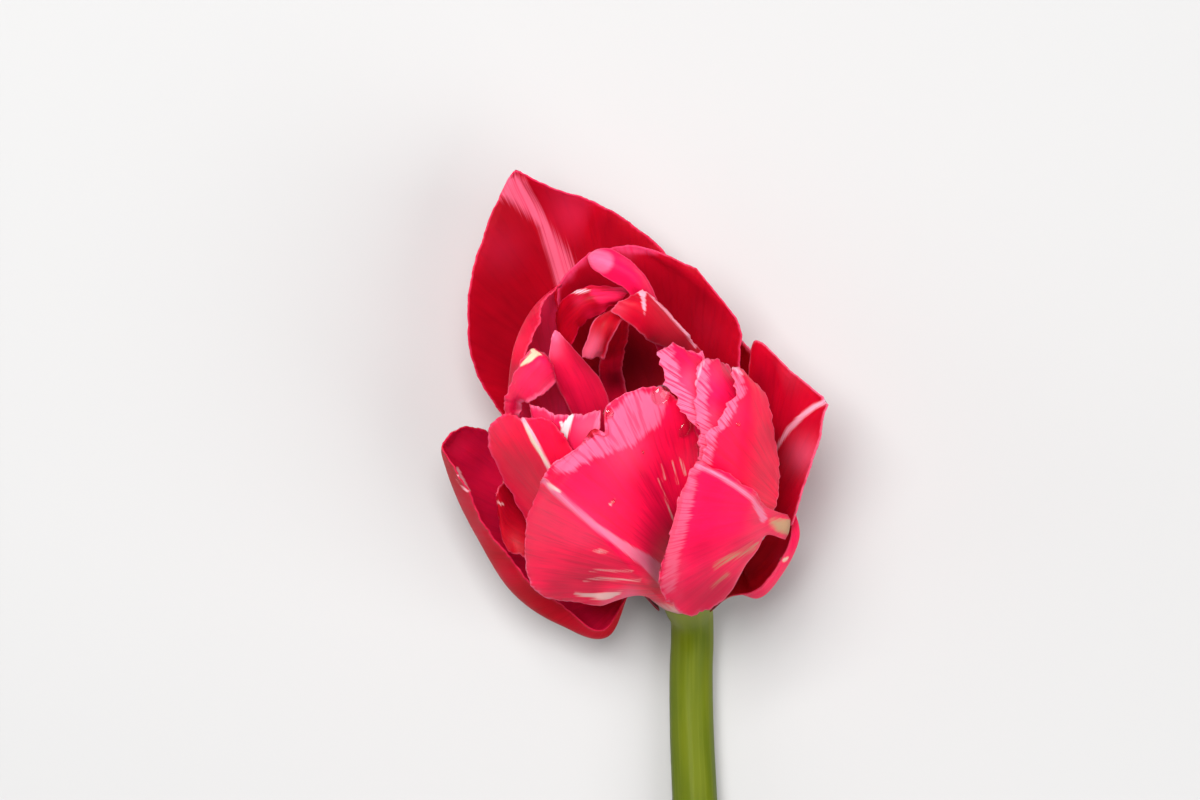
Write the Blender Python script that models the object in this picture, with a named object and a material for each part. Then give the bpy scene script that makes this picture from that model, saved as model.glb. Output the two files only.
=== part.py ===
"""Double tulip, a cut flower lying on its back petals and the end of its stem.

Every petal is a thin closed blade of its own. It starts beside the receptacle and passes through
rows of a few chosen points. The points are read on a sheet laid over the flower: steps to the
right, steps down, and the height in millimetres over the foot of the bloom.
"""

import math

import bpy
import numpy as np

MM = 0.001
STEP = 0.18          # millimetres in one step of the sheet
SHEET_Z = 30.0       # height where the steps are true
EYE_Z = 900.0        # height of the eye that reads the sheet
FLOOR = -10.0        # height of the resting plane
BLADE = 0.8          # thickness of a petal
STEM_R = 3.95        # radius of the stem under the bloom
STEM_END_R = 4.4     # radius of the stem at the cut
SHIFT = (-6.16, 69.03, 10.0)   # moves the middle of the footprint to the origin, and the floor to zero


def sheet(right, down, z):
    """The point at height z under one place of the sheet, in millimetres."""
    near = (EYE_Z - z) / (EYE_Z - SHEET_Z)
    return np.array([(right - 600) * STEP * near, (400 - down) * STEP * near, z])


# The bloom's axis, from the foot to the middle of the opening
FOOT = sheet(688, 600, 0)
AXIS = sheet(635, 350, 36) - FOOT
AXIS /= np.linalg.norm(AXIS)
FRONT = np.array([0.0, 0.0, 1.0]) - AXIS[2] * AXIS
FRONT /= np.linalg.norm(FRONT)
RIGHT = np.cross(AXIS, FRONT)


def round_axis(rise, radius, turn):
    """A point round the bloom's axis: turn 0 is right, 90 front, 180 left, 270 back."""
    t = math.radians(turn)
    return FOOT + rise * AXIS + radius * (math.cos(t) * RIGHT + math.sin(t) * FRONT)


def foot_row(rise, radius, turn, half, count):
    """A row of points across a petal's foot, half the width to each side."""
    spread = math.degrees(math.asin(half / radius))
    return [round_axis(rise, radius, turn + spread * (1 - 2 * i / (count - 1))) for i in range(count)]


def slopes(points, places, crease=None, sharp=0.0):
    """Slopes before and after each point of a smooth curve, broken at the crease."""
    step = (points[1:] - points[:-1]) / (places[1:] - places[:-1])[:, None]
    before = np.vstack([step[:1], step])
    after = np.vstack([step, step[-1:]])
    mean = (before + after) / 2
    before, after = mean.copy(), mean.copy()
    if crease is not None:
        before[crease] += sharp * (step[crease - 1] - mean[crease])
        after[crease] += sharp * (step[crease] - mean[crease])
    return before, after


def curve(points, places, wanted, crease=None, sharp=0.0):
    """Points of the smooth curve at the wanted places."""
    before, after = slopes(points, places, crease, sharp)
    out = []
    for w in wanted:
        i = min(max(int(np.searchsorted(places, w, side="right")) - 1, 0), len(places) - 2)
        gap = places[i + 1] - places[i]
        t = (w - places[i]) / gap
        out.append((2 * t ** 3 - 3 * t ** 2 + 1) * points[i] + (t ** 3 - 2 * t ** 2 + t) * gap * after[i]
                   + (3 * t ** 2 - 2 * t ** 3) * points[i + 1] + (t ** 3 - t ** 2) * gap * before[i + 1])
    return np.array(out)


def spread(lengths):
    """Running share of the whole for a list of lengths."""
    run = np.concatenate([[0.0], np.cumsum(lengths)])
    return run / run[-1]


def blade_grid(rows, across, along, crease, sharp, wave, nicks):
    """Middle surface of a petal as a grid of points, along by across."""
    net = np.array(rows)
    places = spread(np.linalg.norm(net[1:] - net[:-1], axis=2).mean(axis=1))
    side = spread(np.linalg.norm(net[:, 1:] - net[:, :-1], axis=2).mean(axis=0))
    wanted = np.linspace(0, 1, along + 1)
    columns = [curve(net[:, j], places, wanted) for j in range(net.shape[1])]
    grid = []
    for i, place in enumerate(wanted):
        row = np.array([column[i] for column in columns])
        spots = np.linspace(0, 1, across + 1)
        for last, where, wide, deep in nicks:
            pull = deep * math.exp(-((place - where) / wide) ** 2)
            spots = spots - pull * np.maximum(0, 2 * spots - 1) if last else spots + pull * np.maximum(0, 1 - 2 * spots)
        grid.append(curve(row, side, spots, crease, sharp))
    grid = np.array(grid)
    normal = grid_normals(grid)
    size, count, phase = wave
    for i in range(along + 1):
        for j in range(across + 1):
            c = 2 * j / across - 1
            margin = max(abs(c) ** 3, max(0.0, i / along - 0.7) / 0.3 * 0.7) * min(1.0, 2.5 * i / along)
            swing = math.sin(2 * math.pi * count * i / along + phase + 1.9 * (c > 0))
            grid[i, j] += normal[i, j] * size * margin * swing
    grid[..., 2] = np.maximum(grid[..., 2], FLOOR + BLADE / 2)
    return grid


def grid_normals(grid):
    """Unit normals of a grid of points."""
    along = np.gradient(grid, axis=0)
    across = np.gradient(grid, axis=1)
    normal = np.cross(across, along)
    return normal / np.linalg.norm(normal, axis=2)[..., None]


def material(name, colour, rough):
    mat = bpy.data.materials.new(name)
    mat.use_nodes = True
    shader = mat.node_tree.nodes["Principled BSDF"]
    shader.inputs["Base Color"].default_value = (*colour, 1.0)
    shader.inputs["Roughness"].default_value = rough
    shader.inputs["Metallic"].default_value = 0.0
    mat.diffuse_color = (*colour, 1.0)
    return mat


def make_object(name, points, faces, colour, rough=0.45):
    mesh = bpy.data.meshes.new(name)
    moved = [tuple((p[k] + SHIFT[k]) * MM for k in range(3)) for p in points]
    mesh.from_pydata(moved, [], faces)
    mesh.validate()
    mesh.update()
    mesh.polygons.foreach_set("use_smooth", [True] * len(mesh.polygons))
    mesh.materials.append(material(name, colour, rough))
    obj = bpy.data.objects.new(name, mesh)
    bpy.context.scene.collection.objects.link(obj)
    return obj


def volume(points, faces):
    total = 0.0
    for face in faces:
        a = points[face[0]]
        for k in range(1, len(face) - 1):
            total += np.dot(a, np.cross(points[face[k]], points[face[k + 1]]))
    return total / 6


def solid(name, points, faces, colour, rough=0.45):
    """An object whose faces look outward."""
    points = [np.array(p, dtype=float) for p in points]
    if volume(points, faces) < 0:
        faces = [tuple(reversed(face)) for face in faces]
    return make_object(name, points, faces, colour, rough)


def petal(name, colour, feet, rows, across=8, along=14, crease=None, sharp=0.0, wave=(0.0, 1, 0.0), nicks=()):
    """One petal: foot rows by the receptacle, then rows read on the sheet."""
    count = len(rows[0])
    net = [foot_row(*foot, count) for foot in feet] + [[sheet(*p) for p in row] for row in rows]
    grid = blade_grid(net, across, along, crease, sharp, wave, nicks)
    normal = grid_normals(grid) * BLADE / 2
    wide = across + 1
    size = (along + 1) * wide
    points = list((grid + normal).reshape(-1, 3)) + list((grid - normal).reshape(-1, 3))
    faces = []
    for i in range(along):
        for j in range(across):
            a = i * wide + j
            b, c, d = a + 1, a + wide + 1, a + wide
            faces += [(a, b, c), (a, c, d), (size + a, size + c, size + b), (size + a, size + d, size + c)]
    rim = list(range(wide)) + [i * wide + across for i in range(1, along + 1)]
    rim += [along * wide + j for j in range(across - 1, -1, -1)] + [i * wide for i in range(along - 1, 0, -1)]
    for a, b in zip(rim, rim[1:] + rim[:1]):
        faces += [(a, size + a, size + b), (a, size + b, b)]
    return solid(name, points, faces, colour)


def rings(name, centres, frames, radii, sides, colour, rough=0.45):
    """A closed round body through rings of the given radii."""
    points, faces = [], []
    for centre, (u, v), radius in zip(centres, frames, radii):
        for k in range(sides):
            t = 2 * math.pi * k / sides
            r = radius(t) if callable(radius) else radius
            points.append(centre + r * (math.cos(t) * u + math.sin(t) * v))
    for i in range(len(centres) - 1):
        for k in range(sides):
            a, b = i * sides + k, i * sides + (k + 1) % sides
            faces.append((a, b, b + sides, a + sides))
    first, last = len(points), len(points) + 1
    points += [centres[0], centres[-1]]
    top = (len(centres) - 1) * sides
    for k in range(sides):
        faces.append((first, (k + 1) % sides, k))
        faces.append((last, top + k, top + (k + 1) % sides))
    for p in points:
        p[2] = max(p[2], FLOOR)
    return solid(name, points, faces, colour, rough)


def square_frames(centres):
    """Two side directions for each point of a path, without twist."""
    path = np.array(centres)
    tangent = np.gradient(path, axis=0)
    tangent /= np.linalg.norm(tangent, axis=1)[:, None]
    side = RIGHT
    out = []
    for t in tangent:
        side = side - np.dot(side, t) * t
        side = side / np.linalg.norm(side)
        out.append((side, np.cross(t, side)))
    return out


RED = (0.62, 0.01, 0.035)
PINK = (0.75, 0.03, 0.10)
DEEP = (0.40, 0.0, 0.012)
GREEN = (0.14, 0.20, 0.012)

# Feet of the layers on the receptacle: rise, radius, then rise and radius of the heel
LAYERS = [(0.0, 5.8, 4.5, 14.5), (1.8, 5.6, 7.0, 12.5), (3.6, 5.4, 9.5, 11.0), (5.4, 5.2, 12.0, 9.5),
          (7.2, 5.0, 14.5, 8.5)]


def feet(layer, turn, half, heel_turn=None, heel_half=None):
    """The two foot rows of a petal in one layer. A negative half starts at the smaller turn."""
    rise, radius, heel_rise, heel_radius = LAYERS[layer]
    return [(rise, radius, turn, half),
            (heel_rise, heel_radius, turn if heel_turn is None else heel_turn, 2 * half if heel_half is None else heel_half)]


def outer_guards():
    petal("petal_guard_back_left", DEEP, feet(0, 250, -2.4, 243, -6.3), [
        [(566, 500, -3.5), (622, 490, -9.6), (682, 480, -5.5)],
        [(512, 430, 3), (592, 412, -9.0), (698, 390, -2.5)],
        [(473, 360, 11), (570, 335, -3), (698, 312, 2)],
        [(468, 290, 14), (552, 270, 1), (668, 256, 6)],
        [(484, 238, 15), (535, 215, 7), (604, 207, 9)],
        [(506, 184, 14.5), (518, 177, 13), (537, 180, 13)],
        [(513, 171, 14.5), (516, 169, 14), (521, 171, 14)]],
        along=18, crease=1, sharp=0.5, wave=(0.35, 3, 0.5))
    petal("petal_guard_back_right", DEEP, feet(0, 297, -2.0, 296, -5.2), [
        [(685, 482, -9.6), (715, 478, -9.6), (752, 488, -4)],
        [(672, 400, -9), (716, 400, -8), (757, 415, 0)],
        [(690, 350, -6), (728, 345, -3), (757, 367, 4)],
        [(712, 328, -1.5), (735, 335, 1), (752, 350, 6)]], wave=(0.3, 2, 0.0))
    petal("petal_guard_right", RED, [(0, 5.8, 345, -2.2), (5.5, 11.5, 331, -3.2)], [
        [(735, 530, -3), (750, 515, -1.5), (764, 507, 0.5)],
        [(742, 465, 1), (772, 490, 8), (790, 525, 14)],
        [(746, 420, 3), (779, 462, 11), (806, 484, 18.5)],
        [(750, 375, 7), (781, 440, 13.5), (814, 455, 21)],
        [(755, 341, 11.5), (788, 425, 15.5), (820, 434, 22)],
        [(789, 370, 18), (805, 416, 19), (825, 416, 23)],
        [(823, 396, 22.5), (826, 402, 22), (828, 404, 23.5)]], along=16, crease=1, sharp=0.7, wave=(0.3, 3, 1.0))
    petal("petal_guard_low_right", DEEP, [(0, 5.8, 32, -2.1), (4.5, 10.5, 24, -3.2)], [
        [(740, 565, 2.5), (748, 580, 3), (757, 597, 7), (752, 592, 11)],
        [(755, 548, 3.5), (771, 560, 4.5), (782, 572, 10), (769, 578, 14)],
        [(765, 537, 4.5), (785, 536, 6.5), (798, 538, 11), (788, 546, 14)],
        [(775, 526, 4.5), (786, 521, 5.5), (795, 513, 8), (793, 519, 9.5)]], along=12)
    petal("petal_guard_left", RED, [(0, 5.8, 190, 2.2), (5, 9.5, 195, 2.8)], [
        [(626, 570, -3), (618, 600, -1), (609, 634, 4), (603, 629, 7)],
        [(590, 530, -3), (578, 580, -4), (561, 624, 5), (561, 605, 9)],
        [(545, 490, -2), (530, 545, -3), (511, 589, 7), (522, 573, 13)],
        [(508, 455, 2), (497, 500, 0), (477, 534, 9), (490, 531, 15)],
        [(485, 430, 7), (470, 465, 5), (452, 484, 11), (467, 492, 17)],
        [(462, 427, 11), (452, 441, 10), (444, 455, 13), (455, 466, 17)],
        [(451, 433, 13), (447, 439, 13.5), (443, 447, 14.5), (447, 455, 16)]],
        across=10, along=18, wave=(0.3, 4, 0.3))


def front_layer():
    petal("petal_front", PINK, [(1.8, 5.6, 112, 2.4), (8, 9.5, 118, 4.5)], [
        [(592, 604, 22), (640, 577, 33), (682, 548, 25)],
        [(545, 596, 18), (612, 546, 40), (700, 492, 31)],
        [(524, 560, 20), (583, 517, 43.5), (690, 412, 40)],
        [(529, 520, 26), (560, 494, 44), (645, 387, 46.5)],
        [(537, 492, 34), (548, 481, 42.5), (597, 425, 46)],
        [(541, 481, 39), (543, 477, 41), (552, 467, 43)]],
        across=12, along=20, crease=1, sharp=0.8, wave=(0.4, 4, 0.0), nicks=[(True, 0.85, 0.03, 0.12)])
    petal("petal_front_right", PINK, [], [
        [(787, 515, 24), (789, 520, 26), (788, 530, 25.5), (785, 539, 23)],
        [(768, 508, 34), (766, 514, 35.5), (765, 526, 34.5), (765, 536, 31)],
        [(753, 491, 43), (749, 497, 44.5), (742, 530, 42), (749, 561, 32)],
        [(738, 480, 47), (732, 484, 48.5), (712, 545, 42.5), (722, 599, 27)],
        [(724, 472, 49), (716, 475, 50), (690, 550, 42), (686, 615, 24)],
        [(712, 467, 49.5), (705, 469, 50.5), (682, 530, 45), (659, 585, 31)],
        [(703, 464, 49.5), (698, 466, 50.5), (685, 500, 48), (668, 545, 40.5)],
        [(696, 462, 49.3), (693, 465, 50), (687, 480, 49.3), (678, 500, 46.5)]],
        across=12, along=18, crease=1, sharp=0.8, wave=(0.25, 4, 0.8))
    petal("petal_left_front", PINK, [(3.6, 5.4, 170, 2.0), (10, 9, 157, 3.3)], [
        [(552, 556, 14), (576, 550, 20), (600, 540, 26)],
        [(506, 480, 21), (547, 490, 33), (580, 480, 38.5)],
        [(487, 438, 26), (549, 465, 38), (572, 452, 39.5)],
        [(497, 418, 31), (536, 438, 38), (557, 425, 40)],
        [(512, 413, 33), (524, 419, 37), (540, 416, 38.5)]], crease=1, sharp=0.6, wave=(0.3, 3, 0.6))
    petal("petal_small_curled", RED, [(1.8, 5.6, 159, 1.9), (8, 9.5, 167, 2.4)], [
        [(592, 545, 4), (575, 562, 7), (560, 578, 12)],
        [(545, 505, 8), (535, 530, 11), (528, 560, 14)],
        [(515, 482, 13), (508, 512, 13.5), (505, 545, 13)],
        [(503, 480, 15), (497, 491, 16.5), (496, 504, 15)]], across=6, along=12, wave=(0.3, 2, 0.0))


def inner_layer():
    petal("petal_inner_back", DEEP, feet(1, 280, -2.4, 279, -6), [
        [(640, 480, -3), (685, 470, -3), (726, 470, 0)],
        [(592, 390, 0), (668, 372, 0.5), (735, 412, 5)],
        [(562, 330, 10), (657, 305, 8), (741, 352, 12)],
        [(560, 285, 19), (650, 265, 16), (735, 318, 16)],
        [(590, 252, 21), (640, 246, 19), (697, 268, 18.5)]], across=10, along=16, wave=(0.35, 4, 0.4))
    petal("petal_inner_right_1", PINK, feet(4, 68, 1.8, 60, 3), [
        [(706, 500, 36), (722, 500, 35), (745, 500, 31)],
        [(697, 431, 43.5), (712, 430, 42.5), (735, 430, 39)],
        [(675, 400, 45.5), (697, 400, 44.5), (722, 402, 40.5)],
        [(664, 374, 45), (684, 370, 44), (712, 378, 40.5)],
        [(656, 353, 43.5), (672, 346, 42), (700, 354, 39.5)]], wave=(0.3, 3, 0.0))
    petal("petal_inner_right_2", PINK, feet(3, 52, 1.9, 52, 3), [
        [(705, 505, 37.5), (728, 505, 36.5), (758, 505, 29)],
        [(700, 452, 44.6), (722, 450, 43.5), (752, 450, 38)],
        [(697, 412, 46), (718, 412, 45), (745, 415, 40)],
        [(695, 386, 45.5), (714, 384, 44.5), (738, 388, 39.5)],
        [(701, 360, 42), (713, 358, 41), (727, 367, 37.5)]], wave=(0.3, 3, 1.0))
    petal("petal_inner_right_3", PINK, feet(2, 32, 2.1, 38, 4.5), [
        [(704, 515, 40), (738, 522, 38), (770, 522, 24)],
        [(701, 465, 46.3), (738, 480, 43.5), (777, 490, 29)],
        [(706, 438, 47.8), (742, 445, 45.3), (778, 452, 32)],
        [(723, 414, 47.4), (748, 414, 45.6), (772, 422, 35)],
        [(736, 388, 44.5), (750, 388, 42.5), (762, 392, 35.5)],
        [(728, 366, 41), (738, 369, 40), (746, 379, 37.5)]], along=16, wave=(0.3, 4, 2.0))
    petal("petal_inner_left_front", PINK, [(5.4, 5.2, 126, 2.0), (12, 9, 126, 3.2)], [
        [(575, 540, 12), (602, 540, 18), (628, 540, 23)],
        [(547, 470, 27), (578, 470, 35), (612, 470, 40)],
        [(534, 429, 32), (564, 435, 37), (600, 430, 42.5)],
        [(530, 404, 34), (565, 415, 37.5), (601, 411, 42)]], wave=(0.25, 3, 0.7))
    petal("petal_left_rim", PINK, [(5.4, 5.2, 208, 2.0), (13, 9, 210, 3.2)], [
        [(578, 430, 5), (566, 442, 7), (554, 458, 9), (542, 480, 12)],
        [(568, 345, 14), (552, 366, 15), (538, 392, 17), (523, 422, 21)],
        [(554, 289, 26), (531, 312, 30.5), (516, 343, 32.5), (508, 397, 28.4)],
        [(562, 284, 28), (545, 300, 33), (538, 326, 35.2), (521, 366, 34.6)]], along=16, wave=(0.3, 5, 0.2))
    petal("petal_folded_tip", RED, feet(4, 190, 1.8, 190, 2.4), [
        [(512, 450, 18), (522, 452, 20), (532, 454, 22)],
        [(505, 402, 31), (512, 404, 32), (521, 406, 32)],
        [(516, 372, 37), (524, 380, 38.5), (536, 398, 37)],
        [(532, 349, 37), (543, 360, 39.5), (554, 385, 37)],
        [(545, 354, 36), (550, 362, 37), (556, 375, 35.5)]], across=6, along=14)
    petal("petal_throat_left", RED, [(7.2, 5.0, 145, 1.8), (15, 7, 143, 2.4)], [
        [(584, 472, 15), (601, 474, 15), (618, 476, 16.5)],
        [(572, 415, 26), (590, 412, 28), (611, 408, 26)],
        [(557, 385, 30), (577, 380, 31), (598, 377, 28)],
        [(549, 360, 32.5), (562, 352, 33), (576, 352, 30.5)],
        [(551, 338, 34), (555, 331, 34), (560, 333, 33.5)]], across=6)


def petaloids():
    petal("petaloid_arching", PINK, feet(3, 305, -1.6, 305, -2.5), [
        [(690, 400, 7), (700, 395, 7), (710, 390, 7)],
        [(655, 345, 18), (665, 340, 18), (675, 335, 17)],
        [(637, 305, 33), (646, 300, 33.5), (656, 298, 31.5)],
        [(624, 288, 36), (633, 277, 37.5), (644, 275, 35)],
        [(600, 274, 37), (606, 262, 38.5), (613, 250, 36.8)],
        [(592, 267, 36.8), (591, 258, 37.6), (597, 250, 36.6)],
        [(589, 261, 36.3), (588, 257, 36.4), (590, 253.5, 36.2)]], across=6, along=20)
    petal("petaloid_band", PINK, feet(3, 253, -1.6, 252, -2.3), [
        [(590, 420, 9), (592, 405, 8), (596, 390, 7)],
        [(567, 352, 25), (560, 333, 25), (557, 314, 23.5)],
        [(580, 331, 29), (572, 312, 30.5), (568, 295, 28.8)],
        [(590, 318, 30), (586, 302, 32), (587, 288, 30.5)],
        [(606, 309, 30.5), (606, 298, 32), (608, 286, 31)],
        [(621, 304, 30.5), (625, 296, 31.5), (629, 289, 30)]], across=6, along=16, wave=(0.25, 6, 0.0))
    petal("petaloid_leaning", RED, feet(4, 345, -1.8, 345, -3), [
        [(700, 430, 15), (715, 420, 13), (730, 410, 12)],
        [(672, 352, 30), (682, 350, 28), (696, 345, 26)],
        [(648, 340, 35), (662, 328, 34.5), (680, 325, 31)],
        [(625, 320, 38.5), (640, 306, 39.5), (655, 299, 36.5)],
        [(609, 310, 38.2), (624, 300, 39.4), (641, 289, 37.6)]], across=6, along=16)
    petal("petaloid_hanging", PINK, feet(4, 262, -1.7, 262, -2.5), [
        [(600, 380, 12), (612, 380, 12), (624, 380, 12)],
        [(606, 333, 28), (617, 330, 28), (629, 328, 28)],
        [(606, 313, 34.2), (616, 310, 34.6), (628, 314, 34)],
        [(593, 323, 35.8), (605, 323, 36.9), (617, 327, 35.8)],
        [(586, 342, 34.6), (597, 344, 36), (610, 342, 35.2)],
        [(582, 357, 33.0), (592, 359, 33.8), (604, 358, 33.3)]], across=6, along=18)


def stem():
    """Stem and receptacle in one body, from the top of the receptacle to the cut."""
    tops = [(9.0, 3.9), (7.0, 4.1), (4.5, 4.3), (2.0, 4.55), (0.0, 4.8), (-1.5, 4.6), (-3.0, 4.2), (-4.5, 4.0)]
    centres = [FOOT + s * AXIS for s, _ in tops]
    radii = [r for _, r in tops]
    last = centres[-1]
    end = FLOOR + STEM_END_R - 0.12
    path = np.array([last, last + (0.1, -4.2, -1.9), last + (-0.1, -9.5, -2.6), sheet(692, 740, -5.2),
                     sheet(697, 850, -4.2), sheet(701, 1050, -4.4), sheet(697, 1250, -5.0), sheet(690, 1362, end)])
    places = spread(np.linalg.norm(path[1:] - path[:-1], axis=1))
    for w in np.concatenate([np.linspace(0.02, 0.12, 6), np.linspace(0.17, 1.0, 14)]):
        centres.append(curve(path, places, [w])[0])
        radii.append(STEM_R + (STEM_END_R - STEM_R) * min(1.0, 2.2 * w))
    rings("stem", centres, square_frames(centres), radii, 24, GREEN, 0.5)


def pistil_and_stamens():
    marks = [(9.35, 1.9), (11, 2.1), (13.5, 2.3), (16, 2.1), (17.2, 1.8)]
    centres = [FOOT + s * AXIS for s, _ in marks]
    radii = [r for _, r in marks]
    for s, r in [(17.8, 2.0), (18.6, 2.5), (19.4, 2.2)]:
        centres.append(FOOT + s * AXIS)
        radii.append(lambda t, r=r: r * (1 + 0.15 * math.cos(3 * t)))
    rings("pistil", centres, [(RIGHT, FRONT)] * len(centres), radii, 24, (0.45, 0.42, 0.10))
    for i in range(6):
        turn = 60 * i + 5
        marks = [(9.35, 3.1, 0.5), (14, 3.5, 0.5), (19, 3.9, 0.45), (20, 4.0, 0.9), (22, 4.15, 1.15), (26, 4.5, 1.05),
                 (27.5, 4.6, 0.55)]
        centres = [round_axis(s, r, turn) for s, r, _ in marks]
        rings(f"stamen_{i + 1}", centres, square_frames(centres), [w for _, _, w in marks], 12, (0.03, 0.005, 0.02), 0.8)


def main():
    for obj in list(bpy.data.objects):
        bpy.data.objects.remove(obj)
    stem()
    outer_guards()
    front_layer()
    inner_layer()
    petaloids()
    pistil_and_stamens()


main()
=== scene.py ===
import math

import bpy
import numpy as np
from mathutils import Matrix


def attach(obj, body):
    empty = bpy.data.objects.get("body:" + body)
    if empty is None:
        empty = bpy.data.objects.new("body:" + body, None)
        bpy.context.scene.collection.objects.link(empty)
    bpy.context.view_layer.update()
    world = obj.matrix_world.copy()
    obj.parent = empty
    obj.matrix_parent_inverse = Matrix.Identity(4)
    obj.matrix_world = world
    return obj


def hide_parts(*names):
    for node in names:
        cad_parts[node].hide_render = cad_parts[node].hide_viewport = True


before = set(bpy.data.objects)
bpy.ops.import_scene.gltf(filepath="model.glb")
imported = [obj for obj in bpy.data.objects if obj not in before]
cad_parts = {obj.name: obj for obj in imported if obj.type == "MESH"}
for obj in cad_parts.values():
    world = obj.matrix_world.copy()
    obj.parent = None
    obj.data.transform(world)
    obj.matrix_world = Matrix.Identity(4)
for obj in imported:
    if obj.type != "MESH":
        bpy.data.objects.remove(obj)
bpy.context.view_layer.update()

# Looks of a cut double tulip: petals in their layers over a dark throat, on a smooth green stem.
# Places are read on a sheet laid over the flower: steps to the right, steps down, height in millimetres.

MM = 0.001
STEP = 0.18          # millimetres in one step of the sheet
SHEET_Z = 30.0       # height where the steps are true
EYE_Z = 900.0        # height of the eye that reads the sheet
UNDER_EYE = (600, 400)  # the steps right and down under that eye
FLOOR = -10.0        # height of the resting plane
SHIFT = np.array([-6.16, 69.03, 10.0])  # from the sheet's millimetres to the frame's
HALF_SOLID = 0.4     # half the thickness of a petal in the solids
SKIN = 0.55          # thickness of a petal here
THIN_SHARE = 0.5     # share of it that is left at the margins
THIN_REACH = 2.5     # millimetres from a margin to the full thickness
STEM_R = 3.95        # radius of the stem under the bloom
STEM_END_R = 4.4     # and at its cut end
CELL_ACROSS = 0.42   # millimetres between the points of a petal
CELL_ALONG = 0.50
FEWEST_CELLS, MOST_CELLS = (24, 40), (110, 190)  # across and along a petal
FAN_REACH = 24.0     # millimetres of vein pattern in one radian round the place where veins meet

# Round the bloom's axis: rise and radius of a petal's foot, then of its heel, for each layer from outside in
LAYERS = [(0.0, 5.8, 4.5, 14.5), (1.8, 5.6, 7.0, 12.5), (3.6, 5.4, 9.5, 11.0), (5.4, 5.2, 12.0, 9.5),
          (7.2, 5.0, 14.5, 8.5)]

# Uneven margins: length of a wave in millimetres and its strength
RAGGED = ((7.5, 1.0), (3.6, 0.75), (1.9, 0.5), (1.15, 0.35))
RAGGED_REACH = 2.4   # millimetres from a margin to where it is smooth
IN_AND_OUT, RUFFLE = 0.55, 0.35  # how far a margin wanders within the blade and square to it


# Camera
SENSOR = 36.0
LENS = 145.0
NEAR_CLIP = 0.01


def camera():
    data = bpy.data.cameras.new("camera")
    data.sensor_width = SENSOR
    data.lens = LENS
    data.clip_start = NEAR_CLIP
    eye = bpy.data.objects.new("camera", data)
    eye.location = (SHIFT[0] * MM, SHIFT[1] * MM, (EYE_Z + SHIFT[2]) * MM)
    bpy.context.scene.collection.objects.link(eye)
    bpy.context.scene.camera = eye
    bpy.context.scene.view_settings.view_transform = "Standard"


# The sheet and the bloom's axis
def sheet(right, down, z):
    """The point at height z under one place of the sheet, in millimetres."""
    near = (EYE_Z - z) / (EYE_Z - SHEET_Z)
    return np.array([(right - UNDER_EYE[0]) * STEP * near, (UNDER_EYE[1] - down) * STEP * near, z])


def steps_of(points):
    """Steps right and down of points, which is sheet() the other way round."""
    near = (EYE_Z - points[..., 2]) / (EYE_Z - SHEET_Z)
    right = UNDER_EYE[0] + points[..., 0] / (STEP * near)
    down = UNDER_EYE[1] - points[..., 1] / (STEP * near)
    return np.stack([right, down], axis=-1)


FOOT = sheet(688, 600, 0)
AXIS = sheet(635, 350, 36) - FOOT
AXIS /= np.linalg.norm(AXIS)
FRONT = np.array([0.0, 0.0, 1.0]) - AXIS[2] * AXIS
FRONT /= np.linalg.norm(FRONT)
RIGHT = np.cross(AXIS, FRONT)


def round_axis(rise, radius, turn):
    """A point round the bloom's axis: turn 0 is right, 90 front, 180 left, 270 back."""
    t = math.radians(turn)
    return FOOT + rise * AXIS + radius * (math.cos(t) * RIGHT + math.sin(t) * FRONT)


def foot_row(rise, radius, turn, half, count):
    """A row of points across a petal's foot, half the width to each side."""
    reach = math.degrees(math.asin(half / radius))
    return [round_axis(rise, radius, turn + reach * (1 - 2 * i / (count - 1))) for i in range(count)]


def feet(layer, turn, half, heel_turn, heel_half):
    """The foot and heel rows of a petal in one layer."""
    rise, radius, heel_rise, heel_radius = LAYERS[layer]
    return [(rise, radius, turn, half), (heel_rise, heel_radius, heel_turn, heel_half)]


# Smooth surfaces
def slopes(points, places, crease, sharp):
    """Slopes before and after each point of a smooth curve, broken at the crease."""
    step = (points[1:] - points[:-1]) / (places[1:] - places[:-1])[:, None]
    mean = (np.vstack([step[:1], step]) + np.vstack([step, step[-1:]])) / 2
    before, after = mean.copy(), mean.copy()
    if crease is not None:
        before[crease] += sharp * (step[crease - 1] - mean[crease])
        after[crease] += sharp * (step[crease] - mean[crease])
    return before, after


def curve(points, places, wanted, crease=None, sharp=0.0):
    """Points of the smooth curve at the wanted places."""
    before, after = slopes(points, places, crease, sharp)
    i = np.clip(np.searchsorted(places, wanted, side="right") - 1, 0, len(places) - 2)
    gap = (places[i + 1] - places[i])[:, None]
    t = (wanted - places[i])[:, None] / gap
    return ((2 * t ** 3 - 3 * t ** 2 + 1) * points[i] + (t ** 3 - 2 * t ** 2 + t) * gap * after[i]
            + (3 * t ** 2 - 2 * t ** 3) * points[i + 1] + (t ** 3 - t ** 2) * gap * before[i + 1])


def spread(lengths):
    """Running share of the whole for a list of lengths."""
    run = np.concatenate([[0.0], np.cumsum(lengths)])
    return run / run[-1]


def ease(x, low, high):
    """0 below low, 1 above high and smooth between."""
    t = np.clip((x - low) / (high - low), 0.0, 1.0)
    return t * t * (3 - 2 * t)


def normals(grid):
    """Unit normals of a grid of points."""
    normal = np.cross(np.gradient(grid, axis=1), np.gradient(grid, axis=0))
    return normal / np.maximum(np.linalg.norm(normal, axis=2), 1e-9)[..., None]


def running(grid, axis):
    """Length in millimetres from the start of a grid of points to each of them, along one axis."""
    steps = np.linalg.norm(np.diff(grid, axis=axis), axis=2)
    return np.insert(np.cumsum(steps, axis=axis), 0, 0.0, axis=axis)


def unit(vectors):
    """Each vector at length 1."""
    return vectors / np.maximum(np.linalg.norm(vectors, axis=1), 1e-6)[:, None]


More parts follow.
